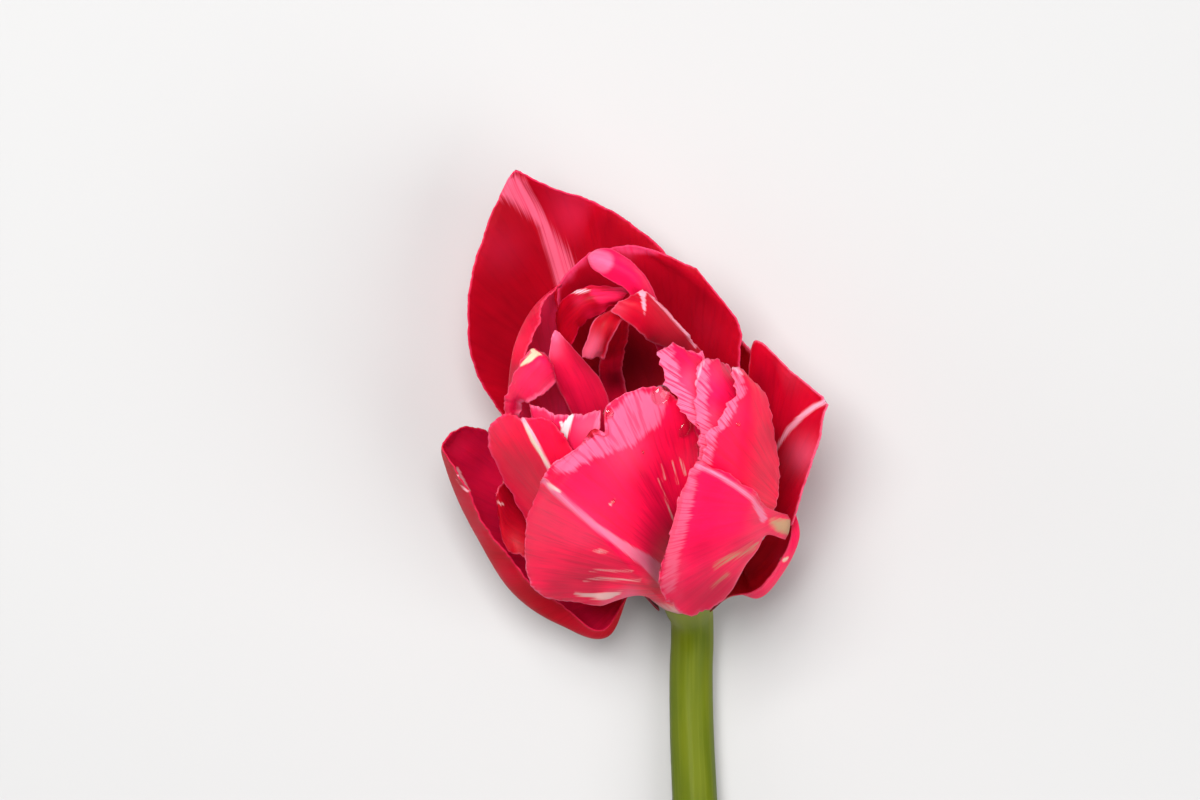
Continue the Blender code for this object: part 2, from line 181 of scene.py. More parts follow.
def surface(net, across, along, crease, sharp, wave):
    """Middle surface of a petal, a grid of points along by across, and the rib's share of its width."""
    places = spread(np.linalg.norm(np.diff(net, axis=0), axis=2).mean(axis=1))
    side = spread(np.linalg.norm(np.diff(net, axis=1), axis=2).mean(axis=0))
    up = np.linspace(0, 1, along + 1)
    spots = np.linspace(0, 1, across + 1)
    columns = np.stack([curve(net[:, j], places, up) for j in range(net.shape[1])], axis=1)
    grid = np.array([curve(row, side, spots, crease, sharp) for row in columns])

    # Waves that grow towards the margins
    size, count, phase = wave
    c = np.linspace(-1, 1, across + 1)[None, :]
    v = up[:, None]
    margin = np.maximum(np.abs(c) ** 3, np.maximum(0.0, v - 0.7) / 0.3 * 0.7) * np.minimum(1.0, 2.5 * v)
    swing = np.sin(2 * math.pi * count * v + phase + 1.9 * np.clip(c / 0.25, 0, 1))
    grid = grid + normals(grid) * (size * margin * swing)[..., None]
    return grid, side[crease] if crease is not None else 0.5


def roughen(grid, rough, draw):
    """Uneven margins: the left margin, the right one and the tip wander in and out and ruffle a little."""
    for size, view in zip(rough, (grid, grid[:, ::-1], grid[::-1].transpose(1, 0, 2))):
        inward = unit(view[:, 3] - view[:, 0])
        run = running(view[:, :1], 0)[:, 0]
        uneven, ruffle = np.zeros(len(run)), np.zeros(len(run))
        for length, strength in RAGGED:
            for wander in (uneven, ruffle):
                pace = 2 * math.pi * run / length * draw.uniform(0.8, 1.25)
                wander += strength * np.sin(pace + draw.uniform(0, 6.3))
        if len(view) == len(grid):
            uneven *= ease(run / run[-1], 0.25, 0.5)
            ruffle *= ease(run / run[-1], 0.25, 0.5)
        fade = 1 - ease(running(view, 1), 0.0, RAGGED_REACH)
        across = unit(np.cross(inward, np.gradient(view[:, 0], axis=0)))
        pull = IN_AND_OUT * uneven[:, None] * inward + RUFFLE * ruffle[:, None] * across
        view += size * fade[..., None] * pull[:, None, :]


def nearest(grid, right, down, lift=0.0):
    """Index of the grid point nearest to a place of the sheet. Lift prefers points that lie high."""
    spots = steps_of(grid)
    gap = np.hypot(spots[..., 0] - right, spots[..., 1] - down) - lift * grid[..., 2]
    return np.unravel_index(np.argmin(gap), gap.shape)


def notch(grid, mark):
    """Pulls the margin at one place of the sheet in to another, over a narrow width in millimetres."""
    x0, y0, x1, y1, wide = mark
    start, end = grid[nearest(grid, x0, y0)], grid[nearest(grid, x1, y1)]
    pull = end - start
    deep = np.linalg.norm(pull)
    rel = grid - start
    inward = rel @ (pull / deep)
    aside = np.linalg.norm(rel - inward[..., None] * (pull / deep), axis=-1)
    weight = np.exp(-(aside / wide) ** 2) * (1 - ease(inward, 0.0, 2.0 * deep))
    return grid + weight[..., None] * pull


def lowered(grid):
    """Keeps the blade on the resting plane, where the solid's flat spot lies on it."""
    drop = HALF_SOLID - SKIN / 2
    lowest = FLOOR + HALF_SOLID
    z = np.maximum(grid[..., 2], lowest)
    z = z - drop * (1 - ease(z, lowest, lowest + 2.5))
    grid[..., 2] = np.maximum(z, FLOOR + SKIN / 2)
    return grid


# Marks drawn on the petals
def stroke(spots, marks):
    """How far inside the marks each spot lies, in millimetres. A mark is points with their half width."""
    best = np.full(spots.shape[:-1], -50.0)
    for mark in marks:
        for (x0, y0, w0), (x1, y1, w1) in zip(mark[:-1], mark[1:]):
            d = np.array([x1 - x0, y1 - y0], dtype=float)
            rel = spots - np.array([x0, y0])
            t = np.clip((rel @ d) / (d @ d), 0, 1)
            gap = np.linalg.norm(rel - t[..., None] * d, axis=-1)
            best = np.maximum(best, w0 + t * (w1 - w0) - gap)
    return best * STEP


def paint_light_and_shade(spots, marks):
    """Painted light and shade over the petal: each mark is a place, a reach in steps and a strength, painted
    light above zero and painted shade below.
    """
    total = np.zeros(spots.shape[:-1])
    for x, y, reach, strength in marks:
        total += strength * np.exp(-((spots[..., 0] - x) ** 2 + (spots[..., 1] - y) ** 2) / reach ** 2)
    return np.clip(total, -1, 1)


# Pieces
def clear():
    bpy.ops.object.select_all(action="DESELECT")


def choose(piece):
    clear()
    piece.select_set(True)
    bpy.context.view_layer.objects.active = piece


def named(name):
    """The primitive that was just added, with its name, and its mesh."""
    piece = bpy.context.object
    piece.name = piece.data.name = name
    return piece, piece.data


def points_of(mesh):
    flat = np.zeros(len(mesh.vertices) * 3)
    mesh.vertices.foreach_get("co", flat)
    return flat.reshape(-1, 3)


def put_points(mesh, placed):
    """Moves the mesh to points in the sheet's millimetres."""
    mesh.vertices.foreach_set("co", ((placed + SHIFT) * MM).ravel())


def number(mesh, name, values):
    """A number at each point of the mesh."""
    layer = mesh.attributes.new(name, "FLOAT", "POINT")
    layer.data.foreach_set("value", np.asarray(values, dtype=np.float32).ravel())


def finish_piece(piece, slot, *nodes):
    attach(piece, "root")
    if nodes:
        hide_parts(*nodes)


def thicken(piece, thick):
    """Gives a blade its wall, with a share of the full thickness at each point."""
    group = piece.vertex_groups.new(name="thick")
    for k, share in enumerate(thick):
        group.add([k], float(share), "REPLACE")
    wall = piece.modifiers.new("wall", "SOLIDIFY")
    wall.thickness = SKIN * MM
    wall.offset = 0.0
    wall.use_quality_normals = True
    wall.vertex_group = "thick"
    wall.thickness_vertex_group = 0.0
    choose(piece)
    bpy.ops.object.modifier_apply(modifier=wall.name)
    bpy.ops.object.shade_smooth()
    piece.vertex_groups.clear()


SKINS = {}           # middle surface of each petal made so far


def petal_grid(name, foot, rows, crease, sharp, wave, rough, notches):
    """Middle surface of one petal, and the rib's share of its width."""
    count = len(rows[0])
    net = np.array([foot_row(*f, count) for f in foot] + [[sheet(*p) for p in row] for row in rows])
    width = np.linalg.norm(np.diff(net, axis=1), axis=2).sum(axis=1).max()
    length = np.linalg.norm(np.diff(net, axis=0), axis=2).sum(axis=0).max()
    cells = np.clip((width / CELL_ACROSS, length / CELL_ALONG), FEWEST_CELLS, MOST_CELLS).astype(int)
    grid, rib_share = surface(net, *cells, crease, sharp, wave)
    roughen(grid, rough, np.random.default_rng(sum(map(ord, name))))
    for mark in notches:
        grid = notch(grid, mark)
    return lowered(grid), rib_share


def petal_marks(grid, rib_share, fan, band, base, melt, light, pale, cream, light_and_shade_marks):
    """What the material reads at each point of a petal: a mark's value is above zero inside it."""
    # Distances over the petal in millimetres
    from_left = running(grid, 1)
    from_right = from_left[:, -1:] - from_left
    from_foot = running(grid, 0)
    from_tip = from_foot[-1:] - from_foot
    edge = np.minimum(np.minimum(from_left, from_right), from_tip)
    columns = np.linspace(0, 1, grid.shape[1])
    off_rib = from_left - np.array([[np.interp(rib_share, columns, row)] for row in from_left])
    up = from_foot.mean(axis=1, keepdims=True) * np.ones_like(off_rib)

    # Place on the pattern of veins, which meet at the fan's middle or run along the petal
    spots = steps_of(grid)
    vein, run = off_rib, up
    if fan:
        away = spots - np.array(fan)
        vein = FAN_REACH * np.arctan2(away[..., 0], -away[..., 1])
        run = np.hypot(away[..., 0], away[..., 1]) * STEP

    left, right, tip = band
    grow = ease(np.linspace(0, 1, len(grid))[:, None], 0.18, 0.5)
    margins = np.maximum(np.maximum(left * grow - from_left, right * grow - from_right), tip - from_tip)
    facing = ease(np.abs(normals(grid)[..., 2]), 0.15, 0.40)
    cream_foot, painted_shade_foot = base
    return {"band": np.maximum(margins, stroke(spots, light)),
            "rib": stroke(spots, pale) * melt[0],
            "cream": stroke(spots, cream) * melt[1] - 1.5 * (1 - facing),
            "base": cream_foot * (1 - 0.35 * np.minimum(1, np.abs(off_rib) / 6)) - up,
            # dark foot inside: painted shade of the throat
            "dark": painted_shade_foot - up,
            # painted light and shade at each point, from the soft marks
            "edge": edge, "vein": vein, "run": run, "across": off_rib, "painted_lighting": paint_light_and_shade(spots, light_and_shade_marks)}


def petal(name, front, foot, rows, crease=None, sharp=0.0, wave=(0.0, 1, 0.0), rough=(0.3, 0.3, 0.3),
          notches=(), look="petal_outer_face", fan=None, band=(0.0, 0.0, 0.0), base=(9.0, 0.0),
          melt=(1.0, 1.0), light=(), pale=(), cream=(), light_and_shade_marks=(), **values):
    """One petal, from rows of points across it, foot first.

    front is the face of the real petal, inner or outer, on the side that the net's normal points to.
    crease is the column of the rib and sharp how hard it folds. wave is the size, count and phase of the
    waves, and rough the unevenness of the left margin, the right one and the tip.
    fan is where the veins meet on the sheet. band is the width of the light margin at the left, the right
    and the tip, base the length of the cream foot outside and of the dark foot inside, which is painted
    shade of the throat, and melt how crisp the pale and the cream marks are, 1 at the most. The last marks,
    each a place, a reach and a strength, are painted light and shade. What is left goes to the petal's
    material.
    """
    grid, rib_share = petal_grid(name, foot, rows, crease, sharp, wave, rough, notches)
    marks = petal_marks(grid, rib_share, fan, band, base, melt, light, pale, cream, light_and_shade_marks)
    SKINS[name] = grid
    along, across = grid.shape[0] - 1, grid.shape[1] - 1
    clear()
    bpy.ops.mesh.primitive_grid_add(x_subdivisions=across, y_subdivisions=along, size=2, calc_uvs=True)
    piece, mesh = named("fine_" + name)
    flat = points_of(mesh)
    j = np.rint((flat[:, 0] + 1) / 2 * across).astype(int)
    i = np.rint((flat[:, 1] + 1) / 2 * along).astype(int)
    put_points(mesh, grid[i, j])
    for key, value in marks.items():
        number(mesh, key, value[i, j])
    points = len(mesh.vertices)
    thicken(piece, THIN_SHARE + (1 - THIN_SHARE) * ease(marks["edge"][i, j], 0.0, THIN_REACH))

    # The wall keeps the first points on the normal's side
    mesh = piece.data
    on_front = np.arange(len(mesh.vertices)) < points
    number(mesh, "outer", on_front == (front == "outer"))
    mesh.materials.clear()
    mesh.materials.append(petal_material(name, values))
    finish_piece(piece, look, name)


# Materials
def feed(tree, socket, value):
    """Links a socket to another, or sets its value."""
    if isinstance(value, bpy.types.NodeSocket):
        tree.links.new(value, socket)
    else:
        socket.default_value = value


def feed_all(tree, sockets, values):
    for key, value in values.items():
        feed(tree, sockets[key], value)


def add(tree, kind, inputs, **settings):
    node = tree.nodes.new(kind)
    for key, value in settings.items():
        setattr(node, key, value)
    feed_all(tree, node.inputs, inputs)
    return node


def calc(tree, operation, *values):
    return add(tree, "ShaderNodeMath", dict(enumerate(values)), operation=operation).outputs[0]


def times(tree, a, b, plus=None):
    """a times b, with a third value added where it is given."""
    if plus is None:
        return calc(tree, "MULTIPLY", a, b)
    return calc(tree, "MULTIPLY_ADD", a, b, plus)


def ramp(tree, value, low, high):
    """0 at low, 1 at high and smooth between."""
    ends = {"Value": value, "From Min": low, "From Max": high}
    return add(tree, "ShaderNodeMapRange", ends, interpolation_type="SMOOTHSTEP").outputs["Result"]


def blend(tree, factor, a, b):
    """Colour a where the factor is 0, and b where it is 1."""
    return add(tree, "ShaderNodeMix", {0: factor, 6: a, 7: b}, data_type="RGBA").outputs[2]


def noise(tree, x, y, z, detail=2.0):
    place = add(tree, "ShaderNodeCombineXYZ", {0: x, 1: y, 2: z})
    wanted = {"Vector": place.outputs[0], "Scale": 1.0, "Detail": detail, "Roughness": 0.5}
    return add(tree, "ShaderNodeTexNoise", wanted).outputs["Fac"]


def bump(tree, height, strength, distance):
    node = add(tree, "ShaderNodeBump", {"Height": height, "Strength": strength, "Distance": distance})
    return node.outputs["Normal"]


def read(tree, name):
    """The number that the mesh holds under a name."""
    return add(tree, "ShaderNodeAttribute", {}, attribute_name=name).outputs["Fac"]


def on_object(tree):
    return tree.nodes.new("ShaderNodeTexCoord").outputs["Object"]


def new_material(name):
    """A material, its tree and the inputs of its shader."""
    mat = bpy.data.materials.new(name)
    mat.use_nodes = True
    return mat, mat.node_tree, mat.node_tree.nodes["Principled BSDF"].inputs


def new_group(name, inputs, outputs):
    tree = bpy.data.node_groups.new(name, "ShaderNodeTree")
    for label, kind, value in inputs:
        socket = tree.interface.new_socket(label, in_out="INPUT", socket_type=kind)
        socket.default_value = value
    for label, kind in outputs:
        tree.interface.new_socket(label, in_out="OUTPUT", socket_type=kind)
    return tree, tree.nodes.new("NodeGroupInput").outputs, tree.nodes.new("NodeGroupOutput").inputs


NUMBER, COLOUR = "NodeSocketFloat", "NodeSocketColor"
# Of these marks, the dark foot is painted shade of the throat and the last one is painted light and shade.
MARKS = ("Band", "Rib", "Cream", "Base", "Dark", "Edge", "Vein", "Run", "Across", "Outer", "Painted_lighting")
STRENGTHS = {"Seed": 0, "Comb": 0.25, "Lines": 0.5, "Margin": 0.15, "Streak": 0.5}
# The darkest tone is the colour of painted shade, and the light tone also serves for painted light.
TONES = {"Outer red": (0.95, 0.006, 0.085, 1), "Inner red": (0.46, 0.001, 0.013, 1),
         "Light tone": (0.98, 0.15, 0.29, 1), "Pale tone": (0.93, 0.40, 0.52, 1),
         "Cream tone": (0.80, 0.56, 0.42, 1), "Painted shade tone": (0.085, 0.0, 0.004, 1)}


def petal_pattern():
    """Colour and relief of a petal: veins, light margins, the rib, cream marks, the dark foot as painted
    shade of the throat, and painted light and shade.
    """
    tree, put, out = new_group("petal_pattern", [(mark, NUMBER, 0) for mark in MARKS]
                               + [(label, NUMBER, value) for label, value in STRENGTHS.items()]
                               + [(label, COLOUR, value) for label, value in TONES.items()],
                               [("Color", COLOUR), ("Roughness", NUMBER), ("Height", NUMBER)])
    seed, vein, run, across = put["Seed"], put["Vein"], put["Run"], put["Across"]

    def grain(width, vein_pace, length, length_pace, offset, detail=2.0):
        place = calc(tree, "ADD", seed, offset) if offset else seed
        return noise(tree, times(tree, width, vein_pace), times(tree, length, length_pace), place, detail)

    def scaled(*values):
        return times(tree, *values)

    fine = grain(vein, 2.6, run, 0.16, 0)
    broad = grain(vein, 0.75, run, 0.06, 9.0)
    cloud = grain(vein, 0.13, run, 0.13, 4.0)
    fine_swing = calc(tree, "SUBTRACT", fine, 0.5)
    broad_swing = calc(tree, "SUBTRACT", broad, 0.5)

    # Ground: the two faces differ, and both vary in tone along their veins; painted light then lightens it
    # towards the light tone where the soft marks are above zero.
    ground = blend(tree, put["Outer"], put["Inner red"], put["Outer red"])
    tone = scaled(scaled(broad_swing, put["Streak"]), 1.2, scaled(cloud, 0.5, 0.75))
    lines = scaled(ramp(tree, fine, 0.52, 0.30), scaled(put["Streak"], -0.3))
    ground = {"Value": calc(tree, "ADD", tone, lines), "Color": ground}
    shade = add(tree, "ShaderNodeHueSaturation", ground).outputs[0]
    shade = blend(tree, calc(tree, "MAXIMUM", put["Painted_lighting"], 0.0), shade, put["Light tone"])

    # Light margin, with a comb of fine streaks where it ends
    comb = scaled(put["Comb"], scaled(broad_swing, 1.6, scaled(fine_swing, 1.8)))
    band = ramp(tree, calc(tree, "ADD", put["Band"], comb), -0.35, 0.75)
    vein_mask = scaled(ramp(tree, fine, 0.52, 0.36), put["Lines"])
    veined = blend(tree, vein_mask, put["Light tone"], put["Outer red"])
    shade = blend(tree, scaled(band, 0.88), shade, veined)

    # Pale rib, striped along its length
    stripe = grain(across, 3.2, vein, 0.10, 2.0)
    rib = ramp(tree, scaled(calc(tree, "SUBTRACT", stripe, 0.5), 0.9, put["Rib"]), -0.22, 0.35)
    rib_tone = blend(tree, scaled(ramp(tree, stripe, 0.52, 0.36), 0.5), put["Pale tone"], put["Light tone"])
    shade = blend(tree, rib, shade, rib_tone)

    # Cream marks and the cream foot of the outer face, in streaks
    streak = grain(across, 1.5, vein, 0.10, 6.0, 3.0)
    foot = ramp(tree, scaled(calc(tree, "SUBTRACT", streak, 0.5), 9.0, put["Base"]), -2.5, 3.5)
    shade = blend(tree, scaled(foot, scaled(put["Outer"], 0.85)), shade, put["Cream tone"])
    cream = ramp(tree, scaled(fine_swing, 0.8, put["Cream"]), -0.18, 0.22)
    shade = blend(tree, cream, shade, put["Cream tone"])

    # Dark throat, painted shade: the petals darken towards their foot inside
    deep = ramp(tree, scaled(broad_swing, 3.0, put["Dark"]), -3.0, 5.0)
    shade = blend(tree, scaled(deep, 0.9), shade, put["Painted shade tone"])
    # Painted shade where the soft marks are below zero
    shade = blend(tree, calc(tree, "MAXIMUM", scaled(put["Painted_lighting"], -1.0), 0.0), shade, put["Painted shade tone"])

    # Thin lighter line right at the margin
    rim = scaled(ramp(tree, put["Edge"], 0.42, 0.08), put["Margin"])
    shade = blend(tree, rim, shade, put["Light tone"])
    feed_all(tree, out, {"Color": shade, "Roughness": scaled(fine, 0.14, 0.40),
                         "Height": scaled(fine, 0.6, scaled(broad, 0.8))})
    return tree


PATTERN = petal_pattern()
SEED_STEP = 3.7
VEIN_RELIEF, VEIN_DEPTH = 0.5, 0.00012  # strength, and depth in metres


def petal_material(name, values):
    mat, tree, shader = new_material("skin_" + name)
    group = tree.nodes.new("ShaderNodeGroup")
    group.node_tree = PATTERN
    feed_all(tree, group.inputs, {mark: read(tree, mark.lower()) for mark in MARKS})
    group.inputs["Seed"].default_value = SEED_STEP * len(SKINS)
    for key, value in values.items():
        socket = group.inputs[key.replace("_", " ").capitalize()]
        socket.default_value = (*value, 1) if isinstance(value, tuple) else value
    feed_all(tree, shader, {"Base Color": group.outputs["Color"], "Roughness": group.outputs["Roughness"],
                            "Normal": bump(tree, group.outputs["Height"], VEIN_RELIEF, VEIN_DEPTH),
                            "Specular IOR Level": 0.12, "Subsurface Weight": 0.22,
                            "Subsurface Radius": (0.9, 0.12, 0.12), "Subsurface Scale": 0.0009})
    return mat


# Petals
def outer_guards():
    petal("petal_guard_back_left", "inner", feet(0, 250, -2.4, 243, -6.3), [
        [(566, 500, -3.5), (622, 490, -9.6), (682, 480, -5.5)],
        [(512, 430, 3), (592, 412, -9.0), (698, 390, -2.5)],
        [(473, 360, 11), (570, 335, -3), (698, 312, 2)],
        [(468, 290, 14), (552, 270, 1), (668, 256, 6)],
        [(484, 238, 15), (535, 215, 7), (604, 207, 9)],
        [(506, 184, 14.5), (518, 177, 13), (537, 180, 13)],
        [(513, 171, 14.5), (516, 169, 14), (521, 171, 14)]],
        crease=1, sharp=0.5, wave=(0.35, 3, 0.5), rough=(0.13, 0.16, 0.13),
        look="petal_back", fan=(640, 435), band=(0.15, 0.5, 0.4), base=(14.0, 12.0), melt=(0.3, 1.0),
        streak=0.3, margin=0.3,
        light_tone=(0.80, 0.03, 0.11), pale_tone=(0.86, 0.14, 0.25),
        pale=[[(508, 180, 9), (514, 188, 13), (526, 203, 10), (544, 224, 5.5), (551, 240, 8.5),
               (560, 258, 10.5), (568, 282, 12), (574, 300, 9)],
              [(506, 192, 7), (514, 196, 8)]],
        # Painted light and shade: place, reach in steps and strength, light above zero, shade below
        light_and_shade_marks=[(575, 215, 22, 0.35), (565, 190, 18, 0.25), (500, 250, 22, 0.22), (510, 345, 40, -0.15),
               (603, 224, 18, -0.35), (640, 235, 25, -0.2)])

    petal("petal_guard_back_right", "inner", feet(0, 297, -2.0, 296, -5.2), [
        [(685, 482, -9.6), (715, 478, -9.6), (752, 488, -4)],
        [(672, 400, -9), (716, 400, -8), (757, 415, 0)],
        [(690, 350, -6), (728, 345, -3), (757, 367, 4)],
        [(712, 328, -1.5), (735, 335, 1), (752, 350, 6)]],
        wave=(0.3, 2, 0.0), rough=(0.15, 0.15, 0.15),
        look="petal_back", fan=(700, 520), band=(0.4, 0.8, 1.2), base=(13.0, 12.0), streak=0.3)

    petal("petal_guard_right", "inner", [(0, 5.8, 345, -2.2), (5.5, 11.5, 331, -3.2)], [
        [(735, 530, -3), (750, 515, -1.5), (764, 507, 0.5)],
        [(742, 465, 1), (772, 490, 8), (790, 525, 14)],
        [(746, 420, 3), (779, 462, 11), (806, 484, 18.5)],
        [(750, 375, 7), (781, 440, 13.5), (814, 455, 21)],
        [(755, 341, 11.5), (788, 425, 15.5), (820, 434, 22)],
        [(789, 370, 18), (805, 416, 19), (825, 416, 23)],
        [(823, 396, 22.5), (826, 402, 22), (828, 404, 23.5)]],
        crease=1, sharp=0.7, wave=(0.3, 3, 1.0), rough=(0.10, 0.13, 0.08),
        look="petal_inner_face", fan=(748, 560), band=(0.3, 0.3, 0.5), base=(10.0, 9.0), streak=0.3,
        inner_red=(0.62, 0.001, 0.020),
        pale=[[(827, 401, 3.2), (815, 407, 3.2), (804, 415, 3.0), (790, 429, 2.8), (781, 443, 1.8),
               (777, 452, 0.3)]],
        # Painted light and shade: painted shade on the left, painted light low on the right
        light_and_shade_marks=[(762, 385, 14, -0.3), (765, 440, 16, -0.3), (790, 375, 16, 0.08), (803, 455, 18, 0.4)])

    petal("petal_guard_low_right", "inner", [(0, 5.8, 32, -2.1), (4.5, 10.5, 24, -3.2)], [
        [(740, 565, 2.5), (748, 580, 3), (757, 597, 7), (752, 592, 11)],
        [(755, 548, 3.5), (771, 560, 4.5), (782, 572, 10), (769, 578, 14)],
        [(765, 537, 4.5), (785, 536, 6.5), (798, 538, 11), (788, 546, 14)],
        [(775, 526, 4.5), (786, 521, 5.5), (795, 513, 8), (793, 519, 9.5)]],
        rough=(0.1, 0.15, 0.1),
        look="petal_back", band=(0.1, 0.5, 0.4), base=(8.0, 7.0), streak=0.3,
        light_tone=(0.78, 0.05, 0.12),
        cream=[[(783, 560, 1.5), (787, 557, 0.8)]],
        # Painted light on this petal
        light_and_shade_marks=[(787, 560, 12, 0.2), (790, 530, 10, 0.15)])

    petal("petal_guard_left", "inner", [(0, 5.8, 190, 2.2), (5, 9.5, 195, 2.8)], [
        [(626, 570, -3), (618, 600, -1), (609, 634, 4), (603, 629, 7)],
        [(590, 530, -3), (578, 580, -4), (561, 624, 5), (561, 605, 9)],
        [(545, 490, -2), (530, 545, -3), (511, 589, 7), (522, 573, 13)],
        [(508, 455, 2), (497, 500, 0), (477, 534, 9), (490, 531, 15)],
        [(485, 430, 7), (470, 465, 5), (452, 484, 11), (467, 492, 17)],
        [(462, 427, 11), (452, 441, 10), (444, 455, 13), (455, 466, 17)],
        [(451, 433, 13), (447, 439, 13.5), (443, 447, 14.5), (447, 455, 16)]],
        wave=(0.3, 4, 0.3), rough=(0.16, 0.28, 0.15),
        look="petal_inner_face", fan=(650, 575), band=(0.2, 0.4, 0.4), base=(9.0, 6.0), streak=0.35,
        outer_red=(0.62, 0.004, 0.045), inner_red=(0.40, 0.001, 0.010), light_tone=(0.66, 0.015, 0.07),
        cream_tone=(0.86, 0.45, 0.50),
        cream=[[(456, 468, 1.2), (459, 477, 2.4), (468, 491, 1.0)]],
        # Painted light and shade: place, reach in steps and strength, light above zero, shade below
        light_and_shade_marks=[(475, 462, 12, -0.15), (466, 500, 14, 0.25), (480, 530, 14, 0.2), (505, 575, 14, 0.15),
               (455, 445, 9, 0.3), (590, 625, 20, 0.1)])


def front_layer():
    petal("petal_front", "outer", [(1.8, 5.6, 112, 2.4), (8, 9.5, 118, 4.5)], [
        [(592, 604, 22), (640, 577, 33), (682, 548, 25)],
        [(545, 596, 18), (612, 546, 40), (700, 492, 31)],
        [(524, 560, 20), (583, 517, 43.5), (690, 412, 40)],
        [(529, 520, 26), (560, 494, 44), (645, 387, 46.5)],
        [(533, 506, 30), (554, 487, 43.7), (610, 405, 47)],
        [(537, 492, 34), (548, 481, 42.5), (596, 433, 46)],
        [(541, 481, 39), (543, 477, 41), (553, 463, 43)]],
        crease=1, sharp=0.8, wave=(0.4, 4, 0.0), rough=(0.25, 0.35, 0.2),
        notches=[(602, 424, 611, 440, 1.1)],
        fan=(708, 590), band=(0.5, 0.3, 0.6), base=(5.0, 0.0), melt=(1.0, 0.6), comb=1.3,
        outer_red=(0.93, 0.004, 0.065), light_tone=(0.95, 0.13, 0.27), pale_tone=(0.86, 0.17, 0.29),
        cream_tone=(0.86, 0.47, 0.45),
        light=[[(560, 468, 8), (578, 455, 10), (600, 445, 12), (620, 430, 20), (640, 412, 22),
                (655, 400, 10)]],
        pale=[[(543, 479, 2.8), (552, 487, 3.4), (570, 504, 3.0), (594, 525, 3.2), (620, 544, 4.8),
               (645, 561, 7), (665, 577, 9)]],
        cream=[[(541, 478, 1.2), (550, 484, 1.8), (560, 491, 0.6)],
               [(658, 586, 3.0), (632, 592, 3.8), (602, 595, 3.2), (576, 592, 1.0)],
               [(640, 579, 0.4), (600, 577, 1.0), (585, 579, 0.3)],
               [(632, 570, 0.2), (600, 569, 0.5), (590, 570, 0.2)],
               [(594, 549, 0.3), (600, 550, 1.6), (607, 552, 0.3)], [(612, 501, 0.8), (610, 504, 0.8)],
               [(660, 464, 0.1), (664, 478, 0.45)], [(671, 461, 0.1), (677, 484, 0.5)],
               [(679, 458, 0.1), (684, 474, 0.35)], [(658, 478, 0.1), (666, 500, 0.35), (675, 528, 0.1)]],
        # Painted light and shade: lighter above and at the foot, painted shade below and a painted shadow
        # where the front right petal lies over it
        light_and_shade_marks=[(560, 520, 24, 0.1), (585, 540, 20, 0.15), (625, 450, 22, 0.18), (620, 430, 14, 0.12),
               (670, 526, 28, -0.45), (648, 560, 22, -0.42), (600, 580, 22, -0.38), (560, 590, 22, -0.4),
               (580, 565, 20, -0.15), (630, 596, 12, 0.7), (608, 596, 11, 0.6), (690, 460, 14, 0.1)])

    petal("petal_front_right", "inner", [], [
        [(787, 515, 24), (789, 520, 26), (788, 530, 25.5), (785, 539, 23)],
        [(768, 508, 34), (766, 514, 35.5), (765, 526, 34.5), (765, 536, 31)],
        [(753, 491, 43), (749, 497, 44.5), (742, 530, 42), (749, 561, 32)],
        [(738, 480, 47), (732, 484, 48.5), (712, 545, 42.5), (722, 599, 27)],
        [(724, 472, 49), (716, 475, 50), (690, 550, 42), (686, 615, 24)],
        [(712, 467, 49.5), (705, 469, 50.5), (682, 530, 45), (659, 585, 31)],
        [(703, 464, 49.5), (698, 466, 50.5), (685, 500, 48), (668, 545, 40.5)],
        [(696, 462, 49.3), (693, 465, 50), (687, 480, 49.3), (678, 500, 46.5)]],
        crease=1, sharp=0.8, wave=(0.25, 4, 0.8), rough=(0.2, 0.5, 0.4),
        fan=(800, 508), band=(0.0, 0.8, 1.6), base=(-20.0, 0.0), melt=(1.0, 0.3), comb=1.2, streak=0.3,
        outer_red=(0.95, 0.006, 0.08), light_tone=(0.95, 0.12, 0.23), pale_tone=(0.88, 0.20, 0.34),
        cream_tone=(0.56, 0.31, 0.17),
        light=[[(690, 480, 8), (682, 505, 10), (674, 550, 8), (668, 583, 8)]],
        pale=[[(693, 464, 1.6), (706, 469, 1.8), (720, 476, 2.0), (735, 486, 2.2), (751, 498, 2.6),
               (758, 510, 3.5), (762, 518, 4)]],
        cream=[[(790, 527, 9), (780, 525, 7), (772, 522, 3)],
               [(753, 547, 0.8), (735, 555, 1.6), (714, 566, 0.2)], [(727, 573, 0.8), (710, 586, 0.1)],
               [(740, 552, 0.2), (760, 540, 1.6)]],
        # Painted light and shade: painted shade over the lower part, a little lighter at the left
        light_and_shade_marks=[(675, 570, 26, 0.2), (665, 590, 20, -0.3), (705, 600, 26, -0.4), (730, 585, 18, -0.3),
               (745, 545, 14, -0.15), (700, 545, 18, -0.22)])

